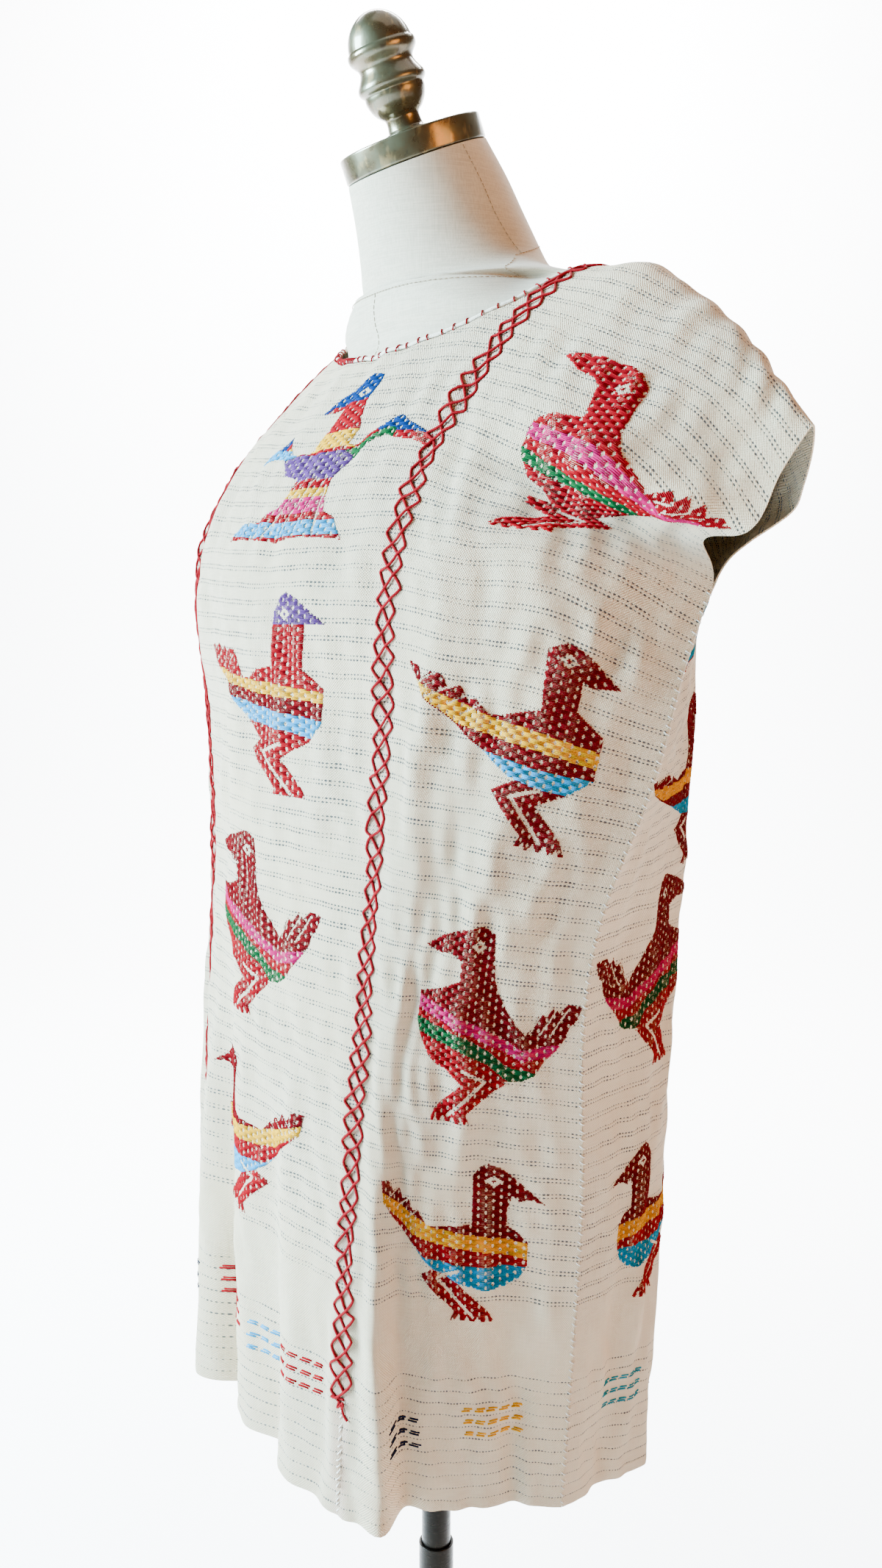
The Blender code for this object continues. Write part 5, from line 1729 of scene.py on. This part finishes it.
class HUIPIL_OT_stand(bpy.types.Operator):
    """Base plate, telescoping tube, pole, clamp knob and the flange under the form"""
    bl_idname = "huipil.stand"
    bl_label = "Stand"

    def execute(self, context):
        low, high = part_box("base_plate")
        radius = high[0]
        plate = rounded(((0.0, 0.0005), (0.0, radius), (0.012, radius), (0.012, 0.0300),
                         (0.026, 0.0285), (0.026, 0.0005)), 3.0 * MM)
        stand_piece("cast_base", plate, "base_plate", "stand", 160)
        low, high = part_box("outer_tube")
        outer, bore = high[0], 0.01075
        tube = rounded(((low[2], 0.0005), (low[2], outer), (high[2], outer), (high[2], bore),
                        (low[2] + 0.003, bore), (low[2] + 0.003, 0.0005)), 0.6 * MM)
        stand_piece("stand_tube", tube, "outer_tube", "stand")
        low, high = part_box("inner_pole")
        pole = rounded(((low[2], 0.0005), (low[2], high[0]), (high[2], high[0]),
                        (high[2], 0.0005)), 0.6 * MM)
        stand_piece("sliding_pole", pole, "inner_pole", "mast")
        low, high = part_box("form_flange")
        plate = rounded(((low[2], 0.0005), (low[2], high[0]), (high[2], high[0]),
                         (high[2], 0.0005)), 1.0 * MM)
        stand_piece("turned_flange", plate, "form_flange", "form")
        self.knob()
        return {"FINISHED"}

    def knob(self):
        """Clamp knob: a shank and a grip whose edge is cut in lobes."""
        low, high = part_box("clamp_knob")
        middle = (low[2] + high[2]) / 2
        grip = high[0]
        back, face = -high[1], -low[1]
        shank = back + 0.0062
        profile = rounded(((back, 0.0005), (back, 0.0030), (shank, 0.0030), (shank, grip),
                           (face, grip), (face, 0.0005)), 1.2 * MM)
        points, faces = lathe(profile, 144)
        radius = np.hypot(points[:, 0], points[:, 1])
        turn = np.arctan2(points[:, 1], points[:, 0])
        lobe = 1.0 - 0.09 * np.maximum(np.cos(12.0 * turn), 0.0) ** 2 * (radius > 0.7 * grip)
        points = np.stack([points[:, 0] * lobe, -points[:, 2], middle + points[:, 1] * lobe], -1)
        stand_piece("lobed_knob", None, "clamp_knob", "stand", faces_and_points=(points, faces))


# ------------------------------------------------------------------- stage


def backdrop():
    """One sheet: a floor that curves up into a wall behind."""
    reach, bend, wall = 4.5, 1.2, 4.0
    across = np.linspace(-6.0, 6.0, 3)
    turn = np.linspace(0.0, math.pi / 2, 17)
    run = np.concatenate([[-3.0, 0.0], reach - bend + bend * np.sin(turn), [reach]])
    rise = np.concatenate([[0.0, 0.0], bend - bend * np.cos(turn), [wall]])
    away = np.array([-math.sin(CAMERA_AZIMUTH), math.cos(CAMERA_AZIMUTH)])
    side = np.array([math.cos(CAMERA_AZIMUTH), math.sin(CAMERA_AZIMUTH)])
    flat = away * run[:, None, None] + side * across[:, None]
    height = np.broadcast_to(rise[:, None, None], flat.shape[:2] + (1,))
    return np.concatenate([flat, height], -1), grid_faces(len(run), len(across))


CAMERA_AZIMUTH = math.radians(60.0)
CAMERA_PLACE = (0.8227, -0.471, 1.18)
CAMERA_DOWN = math.radians(8.0)
CAMERA_LENS = 32.57


def area_light(name, place, aim, size, power, tone):
    """A square area light at a place, turned towards an aim."""
    light = bpy.data.lights.new(name, "AREA")
    light.shape = "SQUARE"
    light.size = size
    light.energy = power
    light.color = tone
    lamp = bpy.data.objects.new(name, light)
    direction = np.array(aim) - np.array(place)
    flat = math.hypot(direction[0], direction[1])
    lamp.location = place
    lamp.rotation_euler = (math.atan2(flat, -direction[2]), 0.0,
                           math.atan2(direction[1], direction[0]) - math.pi / 2)
    bpy.context.scene.collection.objects.link(lamp)


SKY = (1.0, 0.76, 0.50, 1.0)
SENSOR = 36.0            # millimetres across


class HUIPIL_OT_stage(bpy.types.Operator):
    """Pale floor, soft studio light and the camera"""
    bl_idname = "huipil.stage"
    bl_label = "Stage"

    def execute(self, context):
        settings = context.scene.huipil_stage
        finish, nodes, shader = material("studio floor", 0.9)
        nodes.feed(shader["Base Color"], (*settings.floor, 1.0))
        points, faces = backdrop()
        mesh_piece("studio_floor", points, [faces], finish)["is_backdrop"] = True
        world = bpy.data.worlds.new("studio")
        world.use_nodes = True
        sky = world.node_tree.nodes["Background"].inputs
        sky[0].default_value = SKY
        sky[1].default_value = settings.world
        context.scene.world = world
        area_light("cool_window", (-1.1, -2.6, 1.9), (0.0, 0.0, 1.0), 1.3, 890.0,
                   (0.59, 0.84, 1.0))
        area_light("warm_lamp", (2.8, 0.9, 1.6), (0.0, 0.0, 1.0), 1.4, 82.0, (1.0, 0.40, 0.10))
        area_light("top_fill", (0.3, 0.2, 3.2), (0.0, 0.0, 1.0), 1.6, 12.0, (1.0, 0.98, 0.95))
        area_light("backdrop_light", (-1.6, 1.0, 3.6), (-3.6, 2.1, 1.2), 2.4, 1600.0,
                   (1.0, 1.0, 1.0))
        camera = bpy.data.cameras.new("camera")
        camera.lens = CAMERA_LENS
        camera.sensor_width = SENSOR
        eye = bpy.data.objects.new("camera", camera)
        eye.location = CAMERA_PLACE
        eye.rotation_euler = (math.pi / 2 - CAMERA_DOWN, 0.0, CAMERA_AZIMUTH)
        context.scene.collection.objects.link(eye)
        context.scene.camera = eye
        return {"FINISHED"}


# ------------------------------------------------------------------- add-on

OPERATORS = (HUIPIL_OT_stage, HUIPIL_OT_widths, HUIPIL_OT_neck, HUIPIL_OT_seams,
             HUIPIL_OT_brocade, HUIPIL_OT_form, HUIPIL_OT_top, HUIPIL_OT_stand)
SETTINGS = {"huipil_cloth": HuipilClothSettings, "huipil_yarns": HuipilYarnSettings,
            "huipil_stand": HuipilStandSettings, "huipil_stage": HuipilStageSettings}


class HUIPIL_PT_panel(bpy.types.Panel):
    """Sizes, colours and pieces of the huipil"""
    bl_label = "Huipil"
    bl_idname = "HUIPIL_PT_panel"
    bl_space_type = "VIEW_3D"
    bl_region_type = "UI"
    bl_category = "Huipil"

    def draw(self, context):
        for label in SETTINGS:
            box = self.layout.box()
            for name in SETTINGS[label].__annotations__:
                box.prop(getattr(context.scene, label), name)
        for operator in OPERATORS:
            self.layout.operator(operator.bl_idname)


def register():
    for made in (*SETTINGS.values(), *OPERATORS, HUIPIL_PT_panel):
        bpy.utils.register_class(made)
    for label, kind in SETTINGS.items():
        setattr(bpy.types.Scene, label, bpy.props.PointerProperty(type=kind))


def unregister():
    for label in SETTINGS:
        delattr(bpy.types.Scene, label)
    for made in reversed((*SETTINGS.values(), *OPERATORS, HUIPIL_PT_panel)):
        bpy.utils.unregister_class(made)


def main():
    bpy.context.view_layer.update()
    register()
    for operator in OPERATORS:
        group_name, name = operator.bl_idname.split(".")
        getattr(getattr(bpy.ops, group_name), name)()
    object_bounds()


if __name__ == "__main__":
    main()
